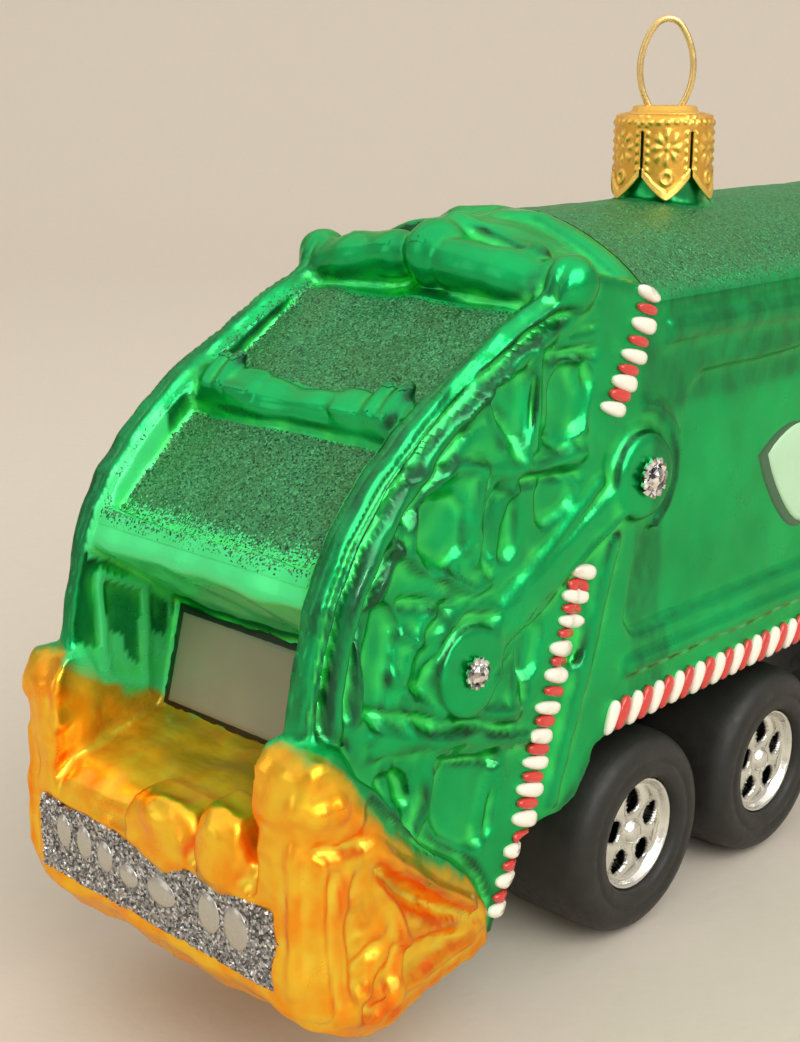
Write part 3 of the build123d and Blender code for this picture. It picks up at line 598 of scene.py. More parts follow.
# lumps blown on top of the plain form: radius, then the line through them
lumps = [
    (2.3, [(-36.2, 12.8, 63.0), (-36.8, 8.0, 64.1), (-37.0, 3.4, 64.6)]),
    (2.3, [(-37.0, -3.4, 64.5), (-36.8, -8.0, 63.9), (-36.2, -12.8, 62.8)]),
    (2.9, [(-36.2, -0.6, 65.0)]),
    (2.0, [(-34.0, -1.0, 65.6), (-29.0, -1.6, 66.4)]),
    (2.4, [(-36.0, 13.6, 63.4)]),
    (2.7, [(-35.9, -13.9, 63.2)]),
    (2.0, [(-28.4, -2.7, 66.3)]),
    (1.1, [(-27.6, 5.0, 67.0), (-27.4, 0.0, 67.5), (-27.6, -5.0, 67.0)]),
    (4.3, [(-2.6, 0.0, 66.6)]),
    # the bar between the two hatches, with its pairs of lugs
    (1.25, [(-51.6, 12.0, 54.5), (-51.6, -12.0, 54.5)]),
    *[(0.8, [(-53.0, y, z), (-50.6, y, z + 2.0)])
      for y, z in ((10.6, 54.6), (8.8, 54.7), (-8.8, 54.7), (-10.6, 54.6))],
    # heads, shafts and edges of the hopper's corner posts
    *both(3.1, (-65.8, 15.2, 30.4), (-65.8, 15.1, 26.0)),
    *both(2.9, (-66.0, 15.2, 26.0), (-66.0, 15.2, 14.4)),
    *both(1.0, (-68.0, 14.2, 30.8), (-68.2, 14.0, 28.6)),
    *both(1.1, (-66.8, -16.8, 32.0), (-68.0, -16.4, 29.8)),
    *both(0.5, (-68.7, -16.4, 26.5), (-68.7, -16.2, 15.0)),
]
# rounded bosses of the two latches: centre, and how far each reaches along x, y and z
bosses = [((-68.2, -1.7, 22.6), (1.7, 4.1, 3.7)), ((-68.2, -8.7, 23.8), (1.8, 2.6, 3.7)),
          ((-69.6, -8.7, 25.2), (0.6, 1.3, 1.4)), ((-69.5, -0.9, 24.2), (0.7, 1.4, 1.1)),
          ((-69.6, -8.7, 22.2), (0.6, 1.5, 0.8))]
# the sill's slab between the cheeks, as (x, z) corners
sill_slab = [(-57.0, 26.7), (-67.0, 24.3), (-68.6, 23.0), (-68.6, 20.6), (-57.0, 19.0)]

# brush-like strokes on the two sides: width, how far out (or in), then x and z of each corner of the line
side_strokes = [
    (0.75, 0.45, -66.2, 34, -65.3, 39, -63.9, 43.5, -61.6, 47.6, -58.2, 51.6, -54, 55, -51.2, 57),
    (0.45, -0.55, -64.8, 34.5, -63.9, 39, -62.4, 43.2, -59.9, 47.4, -56.6, 51.1, -52.6, 54.4, -47.6, 57.5,
     -41.6, 60.2, -37, 61.4),
    (0.8, 0.45, -63.6, 33.8, -62.6, 38.5, -60.8, 43.6, -57.8, 48.2, -53.6, 52.2, -48.6, 55.8, -43.6, 58.4,
     -39, 60),
    (0.38, -0.45, -62.2, 34.5, -61.2, 39, -59.6, 43, -57.6, 46.2),
    (0.42, 0.4, -61.2, 34, -60.2, 39, -58.6, 43.2, -56.8, 46.2),
    (0.48, -0.55, -55.6, 48.2, -53.6, 50.4, -51.6, 52.2, -49.8, 53.4),
    (0.42, 0.4, -55.4, 45.6, -54.6, 49.2, -50.6, 51.6, -47.4, 50.8, -48, 45, -51.4, 43.2, -55.4, 45.6),
    (1.4, -0.3, -52.6, 46.4, -50.4, 48.6),
    (0.38, -0.55, -47, 49.6, -47.6, 46.8, -48.2, 44.6),
    (0.55, -0.45, -45.4, 48.6, -46.6, 46, -46.8, 43.4, -46, 41.8),
    (0.5, 0.45, -43.4, 48.2, -44.8, 45.6, -45.2, 43),
    (0.45, 0.45, -57.4, 46.6, -55, 44.6, -52, 43, -49.6, 41.6, -48, 40.8, -46.2, 41.2),
    (0.42, -0.6, -56.2, 41.8, -53.6, 41.2, -51.2, 40.2),
    (0.5, 0.4, -56.4, 39.4, -53.8, 38, -51.8, 38.6),
    (0.5, 0.4, -57.2, 36.2, -54.8, 33.4, -52.2, 31.8),
    (0.4, -0.4, -56.2, 35.4, -54, 34.4, -53.2, 36.6),
    (0.45, 0.45, -53.4, 36.6, -51.8, 38.6, -49, 39.8, -45.2, 38.9, -40.6, 41.4, -36.8, 43.6, -32, 46.6),
    (0.45, 0.45, -46.4, 33.4, -43.4, 35.2, -38.6, 38, -34.8, 40.4, -29.6, 43.2),
    (0.5, -0.55, -39, 58.2, -36, 58.2, -33, 57.8),
    (0.45, -0.55, -42.4, 48.8, -38.6, 48.4, -34.8, 47.8),
    (0.5, 0.45, -41.2, 58.8, -41.8, 54.4, -42.2, 50.2),
    (0.7, -0.4, -45.2, 54.2, -43.8, 53.4, -43.4, 51.4),
    (0.42, 0.4, -49.6, 54.8, -46.2, 57.2, -42.8, 57.6),
    (0.6, 0.4, -35.4, 57.4, -34.2, 54.6, -34.6, 51.4, -36, 50.4),
    (0.42, -0.45, -39.8, 51.8, -37.6, 50.6, -35, 50.8),
    (1.2, -0.35, -46, 31.4, -45.2, 34),
    (0.42, 0.4, -48.2, 30.6, -43.4, 29.6, -42.8, 34.8),
    (0.4, -0.55, -41.4, 35.4, -41.8, 33, -41.4, 30),
    (0.65, 0.5, -59.6, 32.2, -55.6, 30.9, -51.6, 29.4, -46.6, 27.8, -41, 26.2),
    (0.38, -0.45, -59.4, 33.7, -56, 32.7, -53.4, 31.4),
    (0.38, -0.45, -50, 30.4, -46, 29, -43.4, 28),
    (0.38, -0.45, -52.6, 27.8, -49.6, 26.9, -45, 25.4),
    (0.5, 0.42, -58.2, 29.4, -57.2, 26.4, -57, 24.6),
    (0.5, 0.45, -53.2, 28.2, -53.8, 25, -54.8, 22.6),
    (0.5, 0.42, -44.6, 24.6, -46, 21.4, -46.6, 18.6),
    (0.45, -0.5, -62.8, 28.6, -60.6, 26.6, -58, 24.3, -55.6, 22.3, -52.6, 20.3, -49.4, 18.3, -47.2, 15.6,
     -46, 13),
    (0.5, 0.45, -67.4, 25.6, -67.6, 20, -67, 13),
    (0.55, 0.6, -65.6, 24, -66.1, 20, -65.8, 15, -64.8, 11.8, -62.4, 10.8, -60.8, 12.2, -59.4, 15.8,
     -60.2, 19.6, -62.2, 22.8),
    (0.65, 0.4, -64.6, 21.6, -63.4, 19.4),
    (0.55, 0.4, -64.4, 17.8, -62.2, 18.4),
    (0.55, 0.4, -64.2, 14, -62, 13),
    (0.5, -0.45, -62.2, 17, -64.6, 16.4),
    (0.5, -0.45, -63.8, 12.6, -61.8, 14.6),
    (0.5, 0.55, -60.8, 12.2, -56, 12.5, -51, 12.1, -48, 12.3),
    (0.55, 0.55, -61.8, 24.4, -58, 21.2, -53.6, 17.8, -49.6, 14.8),
    (0.55, -0.6, -62.2, 22.8, -58.6, 19.6, -54.4, 16.6, -50, 13.6),
    (0.45, 0.5, -59.2, 16.4, -56, 15.7, -52, 14.6, -49, 12.9),
    (0.8, 0.6, -67.4, 29.4, -67.5, 29),
    (0.8, 0.6, -65.7, 29.7, -65.7, 29.3),
    (0.8, 0.6, -64.2, 28.4, -64.2, 28),
    (0.42, -0.6, -67.4, 26.6, -63.6, 26),
]
# and on the inner faces of the cheeks
cheek_strokes = [(0.42, 0.40, -63.2, 30.4, -63.2, 39.6, -58.6, 37.4, -59.0, 28.4, -63.2, 30.4)]
STROKE_FORCE = 1.15
# soft waves in the whole skin, and knobbly ones in the orange: their sizes, and their height as a share of size
soft_waves, SOFT_HEIGHT = (11.0, 8.0, 6.0, 4.6, 3.6, 3.0), 0.010
knobbly_waves, KNOBBLY_HEIGHT = (4.2, 3.1, 2.4, 2.0), 0.013
# long grooves down the rails: y of each, width and depth
rail_grooves, GROOVE_WIDTH, GROOVE_DEPTH = (13.5, 15.2), 0.38, 0.30
WIDEST = 19.1                     # beyond this y the skin is drawn in

# where the orange lacquer ends, as (x, z) on the sides, and between the cheeks
orange_edge = [(-70, 34.6), (-66.3, 33.2), (-64.6, 31.2), (-63.6, 29.2), (-62, 27.6), (-60.3, 25.6), (-58, 23.3),
               (-55.8, 21.3), (-53.2, 19.3), (-50.5, 17.6), (-48.3, 15.8), (-46.6, 13.4), (-46.2, 8.0),
               (-46.0, -9.0)]
mouth_edge = [(-70, 34.0), (-66, 32.4), (-62, 29.4), (-57.4, 27.4), (-56.6, 20.0), (-46.4, 8.0), (-46.0, -9.0)]
ORANGE_SLOPE = 0.72               # how steeply the mark falls across the edge


def ease(values, low, high):
    """A smooth step from 0 at low to 1 at high."""
    share = np.clip((values - low) / (high - low), 0, 1)
    return share * share * (3 - 2 * share)


def stroke_distance(points, line):
    """Distance of each (x, z) point, in metres, from a line through corners in millimetres."""
    best = np.full(len(points), 1e9)
    line = np.array(line, float).reshape(-1, 2) * MM
    for a, b in zip(line, line[1:]):
        run = b - a
        share = np.clip((points - a) @ run / max(run @ run, 1e-12), 0, 1)
        best = np.minimum(best, np.linalg.norm(points - a - share[:, None] * run, axis=1))
    return best


def averaged(values, pairs, rounds):
    """Each vertex's values averaged with its neighbours', several times over."""
    count = len(values)
    links = np.bincount(pairs.ravel(), minlength=count).astype(float)
    for _ in range(rounds):
        total = np.empty_like(values)
        for axis in range(values.shape[1]):
            near = np.bincount(pairs[:, 0], values[pairs[:, 1], axis], count)
            near += np.bincount(pairs[:, 1], values[pairs[:, 0], axis], count)
            total[:, axis] = near / links
        values = 0.5 * values + 0.5 * total
    return values


def add_waves(wave, points, rng, sizes, height):
    """Waves of these sizes, in millimetres, each running its own way."""
    for size in sizes:
        heading = rng.normal(size=3)
        heading *= FULL_TURN / (size * MM) / np.linalg.norm(heading)
        wave += height * size * np.sin(points @ heading + rng.uniform(0, 6.28))


def sculpt(mesh):
    """Press the strokes into the glass and let its surface run a little, as blown glass does."""
    points, normals = coords(mesh), coords(mesh, "normal")
    side = np.sign(points[:, 1])
    facing = normals[:, 1] * side
    wide = np.abs(points[:, 1])
    plan = points[:, [0, 2]]
    outer = np.clip((facing - 0.25) / 0.4, 0, 1) * (wide > 12.5 * MM)
    inner = np.clip((-facing - 0.25) / 0.4, 0, 1) * (wide > 9 * MM) * (points[:, 0] < -57 * MM)
    for strokes, share, way in ((side_strokes, outer, side), (cheek_strokes, inner, -side)):
        for width, lift, *line in strokes:
            reach = stroke_distance(plan, line) / (width * MM)
            points[:, 1] += way * share * STROKE_FORCE * lift * MM * np.exp(-reach ** 2)
    rng = np.random.default_rng(7)
    wave = np.zeros(len(points))
    add_waves(wave, points, rng, soft_waves, SOFT_HEIGHT)
    calm = np.interp(points[:, 0], (-0.034, -0.026), (1.0, 0.45))
    knobbly = ease(np.interp(points[:, 0] / MM, *zip(*orange_edge)) * MM - points[:, 2], 0, 0.004)
    add_waves(wave, points, rng, knobbly_waves, knobbly * KNOBBLY_HEIGHT)
    points += normals * (calm * wave * MM)[:, None]
    wide = np.abs(points[:, 1]) / MM
    rails = ease(0.6 * normals[:, 2] - normals[:, 0] - np.abs(normals[:, 1]), 0.2, 0.6)
    rails *= ease(-36.5 * MM - points[:, 0], 0, 0.001) * ease(points[:, 2], 0.033, 0.036)
    groove = sum(np.exp(-((wide - y) / GROOVE_WIDTH) ** 2) for y in rail_grooves)
    points -= normals * (rails * GROOVE_DEPTH * MM * groove)[:, None]
    wide = np.abs(points[:, 1]) / MM
    drawn_in = np.where(wide > WIDEST, WIDEST + (wide - WIDEST) * 0.4, wide)
    points[:, 1] = np.sign(points[:, 1]) * drawn_in * MM
    put_coords(mesh, points)


def mark_relief(mesh):
    """Store where the lacquer's colour gets painted shade (slopes, rails, hood, frame) and a painted highlight
    (creases), and where the orange and the mouth are, with the mouth's painted light and shade.
    """
    points, normals = coords(mesh), coords(mesh, "normal")
    pairs = np.zeros(len(mesh.edges) * 2, np.int32)
    mesh.edges.foreach_get("vertices", pairs)
    pairs = pairs.reshape(-1, 2)
    x, y, z = (points / MM).T
    y = np.abs(y)
    sideways = np.abs(normals[:, 1])

    wide = averaged(normals, pairs, 60)
    wide /= np.linalg.norm(wide, axis=1)[:, None] + 1e-9
    tilt = averaged((1 - (normals * wide).sum(1))[:, None], pairs, 2)[:, 0]
    # painted shade where the surface tilts away from its neighbours
    store(mesh, "slope", np.clip((tilt - 0.03) / 0.16, 0, 1))

    near = averaged(points, pairs, 3)
    hollow = ((near - points) * normals).sum(1) / (0.05 * MM)
    hollow = averaged(hollow[:, None], pairs, 2)[:, 0]
    # painted highlight in hollows, weaker towards the front
    store(mesh, "crease", np.clip(hollow, 0, 1) * np.interp(x, (-30.0, -22.0), (1.0, 0.35)))

    in_mouth = (y < 12.9) & (x < -56.0) & (z > 21.0)
    outline = np.where(in_mouth, np.interp(x, *zip(*mouth_edge)), np.interp(x, *zip(*orange_edge)))
    store(mesh, "orange", (outline - z) * ORANGE_SLOPE)

    # painted shade on the frame round the side panel, on the rails' rear faces and under the hood
    frame = np.maximum(ease(z, 50.6, 52.0), ease(-20.6 - x, 0.0, 1.2)) * ease(x, -27.0, -26.0)
    frame *= 0.75 * ease(sideways, 0.5, 0.8)
    rail = ease(y, 11.6, 12.4) * ease(-normals[:, 0] - sideways, -0.3, 0.2)
    rail *= ease(-37.0 - x, 0.0, 2.0) * ease(z, 33.0, 36.0)
    hood = ease(12.8 - y, 0.0, 0.6) * ease(-55.0 - x, 0.0, 1.5) * ease(47.0 - z, 0.0, 2.0)
    rail = np.maximum(rail, 1.7 * hood * ease(z, 39.0, 40.0))
    store(mesh, "rail", np.maximum(rail, frame))
    # painted shade deeper in the mouth, and painted light inside it
    store(mesh, "shade", np.where(in_mouth, np.clip((x + 67.5) / 5.0, 0, 1), 0.0))
    store(mesh, "inside", np.where(in_mouth, np.clip((x + 68.0) / 2.0, 0, 1), 0.0))


def keep_outside(mesh):
    """Take away the bubble's inner wall, which nothing sees, and close what that leaves open."""
    bm = opened(mesh)
    tree = BVHTree.FromBMesh(bm)
    ways = [Vector(way) for way in ((0, 1, 0), (0, -1, 0), (-1, 0, 0.2), (1, 0, 0.2), (0, 0, 1), (0, 0, -1),
                                    (-1, 0.3, 0), (-1, -0.3, 0))]
    hidden = []
    for vert in bm.verts:
        start = vert.co + vert.normal * 0.1 * MM
        if tree.ray_cast(start, vert.normal)[0] is None:
            continue
        if not any(way.dot(vert.normal) > 0 and tree.ray_cast(start, way)[0] is None for way in ways):
            hidden.append(vert)
    ops.delete(bm, geom=hidden, context="VERTS")
    for shell in sorted(islands(bm), key=len)[:-1]:
        ops.delete(bm, geom=shell, context="VERTS")
    filled = ops.holes_fill(bm, edges=[e for e in bm.edges if e.is_boundary], sides=0)["faces"]
    ops.triangulate(bm, faces=filled)
    face_out(bm)
    write(bm, mesh)


def part_off(whole, name, start, end):
    """One length of the glass as its own piece, shaded as if it were still joined."""
    mesh = whole.copy()
    lay = mesh.attributes.new("lay", "FLOAT_VECTOR", "POINT")
    lay.data.foreach_set("vector", coords(mesh, "normal").astype(np.float32).ravel())
    bm = opened(mesh)
    others = [f for f in bm.faces if not start * MM <= f.calc_center_median().x < end * MM]
    ops.delete(bm, geom=others, context="FACES")
    settle(name, write(bm, mesh), "green_glass", "glass_body", "orange_lacquer")
    normals = np.zeros(len(mesh.vertices) * 3, np.float32)
    mesh.attributes["lay"].data.foreach_get("vector", normals)
    mesh.normals_split_custom_set_from_vertices(normals.reshape(-1, 3))
    mesh.attributes.remove(mesh.attributes["lay"])


def molten_glass():
    """The glass and its lacquer, melted into one skin with soft edges; returns a tree of it to aim at, and it."""
    bm = copy_of("glass_body", "orange_lacquer")
    low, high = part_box("crown_cap")
    plug = (low + high) / 2
    plug.z = high.z - 5.2 * MM
    ops.create_cone(bm, cap_ends=True, segments=32, radius1=4.0 * MM, radius2=4.0 * MM, depth=8 * MM,
                          matrix=Matrix.Translation(plug))
    for radius, line in lumps:
        add_rod(bm, line, radius)
    for centre, reach in bosses:
        place = Matrix.Translation(Vector(centre) * MM) @ Matrix.Diagonal((*reach, 1 / MM)) * MM
        ops.create_uvsphere(bm, u_segments=24, v_segments=14, radius=1.0, matrix=place)
    add_slab(bm, sill_slab, 12.0)
    mesh = melted(new_mesh("glass_work", bm), VOXEL)
    keep_outside(mesh)
    mesh = smoothed(mesh, 6)
    sculpt(mesh)
    mesh = smoothed(mesh, 1)
    mark_relief(mesh)
    for name, start, end in partings:
        part_off(mesh, name, start, end)
    return BVHTree.FromPolygons([v.co for v in mesh.vertices], [p.vertices for p in mesh.polygons]), mesh


def hatch_cover(x, y, z, nx, nz):
    """How thickly the glitter lies between the rails, from the header down to the hood."""
    sideways = ease(12.6 - np.abs(y), -0.2, 1.0)
    top = ease(-38.6 - x, 0.0, 1.2) * ease(np.hypot(x + 36.9, z - 63.9), 2.7, 3.3)
    foot = ease(z - 43.9, 0.0, 2.4)
    bar = 1 - ease(2.6 - np.hypot(x + 51.6, z - 54.8), 0.0, 0.8)
    return sideways * top * foot * bar * ease(nz, 0.30, 0.50) * ease(-nx, -0.2, 0.1)


def roof_cover(x, y, z, nx, nz):
    """How thickly it lies on the roof, from the ridge to the front and down to the eaves."""
    sideways = ease(z - 60.6, 0.0, 2.6)
    ends = ease(x + 26.4, 0.0, 1.0) * ease(37.6 - x, 0.0, 1.0)
    neck = ease(np.hypot(x + 2.6, y), 4.6, 5.6)
    return sideways * ends * neck * ease(nz, 0.15, 0.40)


def sprayed(glass, name, node, cover_of):
    """A thin layer of glitter on the glass, as thick at each place as cover_of says."""
    mesh = glass.copy()
    points, normals = coords(mesh), coords(mesh, "normal")
    x, y, z = (points / MM).T
    cover = cover_of(x, y, z, normals[:, 0], normals[:, 2])
    store(mesh, "cover", cover)
    put_coords(mesh, points + normals * 0.05 * MM)
    bm = opened(mesh)
    bare = [v for v in bm.verts if cover[v.index] <= 0.001]
    ops.delete(bm, geom=bare, context="VERTS")
    settle(name, write(bm, mesh), "green_glitter", node)


# ---- enamel, stones and trim
def on_glass(skin, point, side):
    """Where a line in from the side meets the glass, and the glass's normal there."""
    start = Vector((point[0], side * 30 * MM, point[2]))
    hit, normal, _, _ = skin.ray_cast(start, Vector((0, -side, 0)))
    if hit is None or hit.y * side < 0.012:
        hit, normal, _, _ = skin.find_nearest(Vector((point[0], side * 15.2 * MM, point[2])))
    return hit, normal


def draped(skin, spot, normal, rise):
    """A place rise above the glass, along normal from a spot near it."""
    hit = skin.ray_cast(spot + normal * 0.9 * MM, -normal, 1.8 * MM)[0]
    shift = (hit - spot).dot(normal) if hit else 0.0
    return spot + normal * (max(shift, -0.2 * MM) + rise)


# a drop of enamel, ring by ring: share of its outline, share of its height; its foot is sunk a little
drop_rings = ((1.0, 0.0), (0.97, 0.45), (0.80, 0.80), (0.45, 0.97))
FOOT_DEPTH = 0.12


def enamel_dashes(skin, node, slot, rng, blunt, lift):
    """A thick drop of enamel for each dash of a CAD node, blunt at one end."""
    bm = bmesh.new()
    for points, centre, side in spots_of(node):
        flat = (points - centre)[:, [0, 2]]
        _, axes = np.linalg.eigh(flat.T @ flat)
        along = axes[:, 1] * (1 if axes[0, 1] > 0 else -1)
        across = np.array([-along[1], along[0]])
        half_long = np.abs(flat @ along).max() * 1.12
        half_wide = np.abs(flat @ across).max() * rng.uniform(1.05, 1.3)
        hit, normal = on_glass(skin, centre, side)
        normal = (normal + 1.5 * Vector((0, side, 0))).normalized()
        along = Vector((along[0], 0, along[1]))
        along = (along - normal * along.dot(normal)).normalized()
        across = normal.cross(along)
        rings = []
        for size, rise in drop_rings:
            ring = []
            for i in range(16):
                u, v = math.cos(FULL_TURN * i / 16), math.sin(FULL_TURN * i / 16)
                u = math.copysign(abs(u) ** 0.8, u)
                v = math.copysign(abs(v) ** 0.8, v) * (1 + blunt * u)
                spot = hit + along * (u * size * half_long) + across * (v * size * half_wide)
                height = (rise * lift if rise else -FOOT_DEPTH) * MM
                ring.append(bm.verts.new(draped(skin, spot, normal, height)))
            rings.append(ring)
        top = bm.verts.new(draped(skin, hit, normal, lift * MM))
        loft(bm, rings)
        for i in range(16):
            bm.faces.new((rings[-1][i], rings[-1][(i + 1) % 16], top))
        bm.faces.new(rings[0][::-1])
    face_out(bm)
    piece("enamel_" + node, bm, slot, node)


def crystals(skin, rng):
    """A round of cut glass in a ring of small facets, for each stone."""
    bm = bmesh.new()
    for points, centre, side in spots_of("crystal_stones"):
        radius = (points[:, 0].max() - points[:, 0].min()) / 2
        hit, normal = on_glass(skin, centre, side)
        normal = (normal + 2 * Vector((0, side, 0))).normalized()
        turn = normal.to_track_quat("Z", "Y").to_matrix()
        seats = [(0, 0, radius * 0.62, 2)]
        seats += [(radius * 0.74 * math.cos(t), radius * 0.74 * math.sin(t), radius * 0.27, 1)
                  for t in np.linspace(0, FULL_TURN, 12)[:-1]]
        for u, v, size, cuts in seats:
            for vert in ops.create_icosphere(bm, subdivisions=cuts, radius=size)["verts"]:
                vert.co *= rng.uniform(0.88, 1.08)
                vert.co.z *= 0.75
                vert.co += Vector((u, v, 0.25 * radius))
                vert.co = hit + turn @ vert.co
    piece("cut_stones", bm, "crystal", "crystal_stones", smooth=False)


# smooth lamps: y, z, half width and half height
lamp_ovals = [(11.2, 18.9, 0.95, 1.5), (8.4, 18.8, 1.0, 1.5), (5.6, 18.5, 1.0, 1.35), (2.5, 17.9, 1.2, 1.0),
              (-1.6, 18.0, 1.8, 1.2), (-7.4, 18.4, 1.3, 1.7), (-10.5, 18.3, 1.4, 1.8)]
LAMP_DEPTH = 0.48
GRAIN = 0.25 * MM                 # distance between the grains of the bar's glitter


def lamp_bar():
    """Silver glitter along the rear face, and the smooth silver lamps that stand in it."""
    rng = np.random.default_rng(11)
    low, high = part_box("lamp_bar_glitter")
    bm = bmesh.new()
    across, up = int((high.y - low.y) / GRAIN), int((high.z - low.z) / GRAIN)
    spots = [[value * MM for value in lamp] for lamp in lamp_ovals]

    def grain_at(j, i):
        edge = i in (0, across) or j in (0, up)
        y = low.y + (high.y - low.y) * i / across + rng.uniform(-0.1, 0.1) * MM
        z = low.z + (high.z - low.z) * j / up + rng.uniform(-0.1, 0.1) * MM
        if edge:
            y += rng.uniform(-0.22, 0.22) * MM
            z += rng.uniform(-0.22, 0.22) * MM
        near = min(math.hypot((y - a) / (c + 0.6 * MM), (z - b) / (d + 0.6 * MM)) for a, b, c, d in spots)
        grain = rng.uniform(-0.10, 0.10) * min(1.0, max(0.12, near - 0.6) * 1.4)
        return low.x - (0.10 + grain) * MM + (0.35 * MM if edge else 0), y, z

    grid = grid_of(bm, up, across, grain_at)
    for j, (a, b) in enumerate(zip(grid, grid[1:])):
        for i in range(across):
            odd = (i + j) % 2
            bm.faces.new((a[i], a[i + 1], b[i + 1] if odd else b[i]))
            bm.faces.new((a[i] if odd else a[i + 1], b[i + 1], b[i]))
    face_back(bm)
    piece("glitter_bar", bm, "silver_glitter", "lamp_bar_glitter", smooth=False)
    bm = bmesh.new()
    for y, z, half, tall in lamp_ovals:
        for vert in ops.create_uvsphere(bm, u_segments=24, v_segments=14, radius=1.0)["verts"]:
            u, v, w = vert.co
            vert.co = Vector((u * LAMP_DEPTH * MM + low.x, (v * half + y) * MM, (w * tall + z) * MM))
    piece("lamps", bm, "silver_paint", "tail_lamps")


def mouth_panel():
    """The taupe panel at the back of the mouth and the brushed black line round it."""
    low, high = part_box("mouth_outline")
    rng = np.random.default_rng(5)
    foot, head = Vector((low.x, 0, low.z)), Vector((high.x, 0, high.z))
    rise = (head - foot).normalized()
    out = Vector((-rise.z, 0, rise.x))
    cols, rows = 40, 24

    def sheet(name, slot, inset, lift, wobble, node):
        def place(j, i):
            y = high.y - inset + (low.y - high.y + 2 * inset) * (i / cols)
            along = 0.6 * inset + ((head - foot).length - 1.2 * inset) * (j / rows)
            if i in (0, cols) or j in (0, rows):
                y += rng.uniform(-wobble, wobble) * MM
                along += rng.uniform(-wobble, wobble) * MM
            dome = lift * MM * min(1.0, 0.2 + min(i, j, cols - i, rows - j) * 0.6)
            point = foot + rise * along + out * dome
            return point.x, y, point.z

        bm = bmesh.new()
        grid = grid_of(bm, rows, cols, place)
        for a, b in zip(grid, grid[1:]):
            for i in range(cols):
                bm.faces.new((a[i], b[i], b[i + 1], a[i + 1]))
        face_back(bm)
        piece(name, bm, slot, node)

    sheet("black_edging", "black_line", 0.1 * MM, 0.40, 0.12, "mouth_outline")
    sheet("taupe_panel", "taupe_paint", 0.55 * MM, 0.52, 0.06, "mouth_panel")


def crown():
    """The stamped gold cap: six pointed petals, each with a flower between rows of beads."""
    low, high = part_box("crown_cap")
    centre = (low + high) / 2
    radius, tall = (high.x - low.x) / 2, high.z - low.z
    petals, turn, slit, point = 6, 0.15, 0.17 * MM, 2.2 * MM
    cols, rows, round_steps = 44, 60, 96
    shoulder, sheet = 0.8 * MM, 0.18 * MM
    bm = bmesh.new()
    stamp = bm.verts.layers.float.new("stamp")
    body_top = high.z - 0.75 * MM
    half = math.pi / petals
    for petal in range(petals):
        grid = []
        for j in range(rows + 1):
            row = []
            for i in range(cols + 1):
                s = 2 * i / cols - 1
                foot = low.z - 0.35 * MM + point * abs(s) ** 1.3
                z = foot + (body_top - foot) * (j / rows)
                width = half - slit / radius * (1 if z < low.z + 0.72 * tall else 0)
                angle = FULL_TURN * (petal + turn + 0.5) / petals + s * width
                up = z - low.z
                raise_by = emboss(s * half * radius / MM, up / MM)
                flare = 0.25 * MM * max(0.0, 1 - up / (2.5 * MM)) ** 2
                bulge = radius - 0.22 * MM + flare + raise_by * 0.24 * MM
                corner = max(0.0, (z - (body_top - shoulder)) / shoulder)
                bulge -= (1 - math.sqrt(max(0.0, 1 - corner ** 2))) * shoulder
                vert = bm.verts.new((centre.x + bulge * math.cos(angle), bulge * math.sin(angle), z))
                # painted shade and highlight by the stamping's height
                vert[stamp] = max(0.0, min(1.0, 0.35 + 0.8 * raise_by))
                row.append(vert)
            grid.append(row)
        loft(bm, grid, closed=False)
    # the domed top with its raised button: how far in from the cap's side, and z
    profile = [(1.04, body_top), (1.35, body_top + 0.12 * MM), (1.7, body_top + 0.18 * MM),
               (1.9, body_top + 0.62 * MM), (2.2, high.z)]
    profile = [(radius - inset * MM, z) for inset, z in profile]
    profile += [(radius * 0.3, high.z), (0.0, high.z - 0.06 * MM)]
    rings = []
    for r, z in profile:
        turns = [FULL_TURN * i / round_steps for i in range(round_steps)]
        rings.append([bm.verts.new((centre.x + r * math.cos(t), r * math.sin(t), z)) for t in turns])
        for vert in rings[-1]:
            # the domed top gets a middle tone between the painted shade and highlight
            vert[stamp] = 0.6
    loft(bm, rings)
    ops.remove_doubles(bm, verts=bm.verts, dist=1e-5)
    face_out(bm)
    if sum(f.normal.dot(f.calc_center_median() - centre) for f in bm.faces) < 0:
        ops.reverse_faces(bm, faces=bm.faces)
    ops.solidify(bm, geom=bm.faces, thickness=sheet)
    piece("stamped_cap", bm, "gold_cap", "crown_cap")


def emboss(across, up):
    """Height of the stamping, 0 to 1, at a place on a petal in millimetres from its tip."""
    half, high = 2.6, 4.6
    dist = math.hypot(across, up - high)
    lobes = 0.5 + 0.5 * math.cos(8 * math.atan2(up - high, across))
    flower = max(max(0.0, 1 - abs(dist - 1.15) / 0.75) * lobes, max(0.0, 1 - dist / 0.42))
    beads = 0.0
    if up > 2.0:
        edge = half - 0.42 - abs(across)
        beads = max(0.0, 1 - abs(edge) / 0.34) * (0.5 + 0.5 * math.cos(FULL_TURN * up / 0.85))
    ring = max(0.0, 1 - abs(math.hypot(across, up - 1.75) - 0.55) / 0.3)
    rim = max(0.0, 1 - abs(up - 7.0) / 0.3) * (0.5 + 0.5 * math.cos(FULL_TURN * across / 0.9))
    border = 0.8 if up < 2.2 * (abs(across) / half) ** 1.3 + 0.45 else 0.0
    return max(flower, beads, ring, rim, border)


def wire_loop():
    """The hanger's wire, rounder than its CAD solid."""
    mesh = smoothed(melted(new_mesh("wire_work", copy_of("hanger_wire")), WIRE_VOXEL), 6)
    settle("gold_loop", mesh, "gold_wire", "hanger_wire")


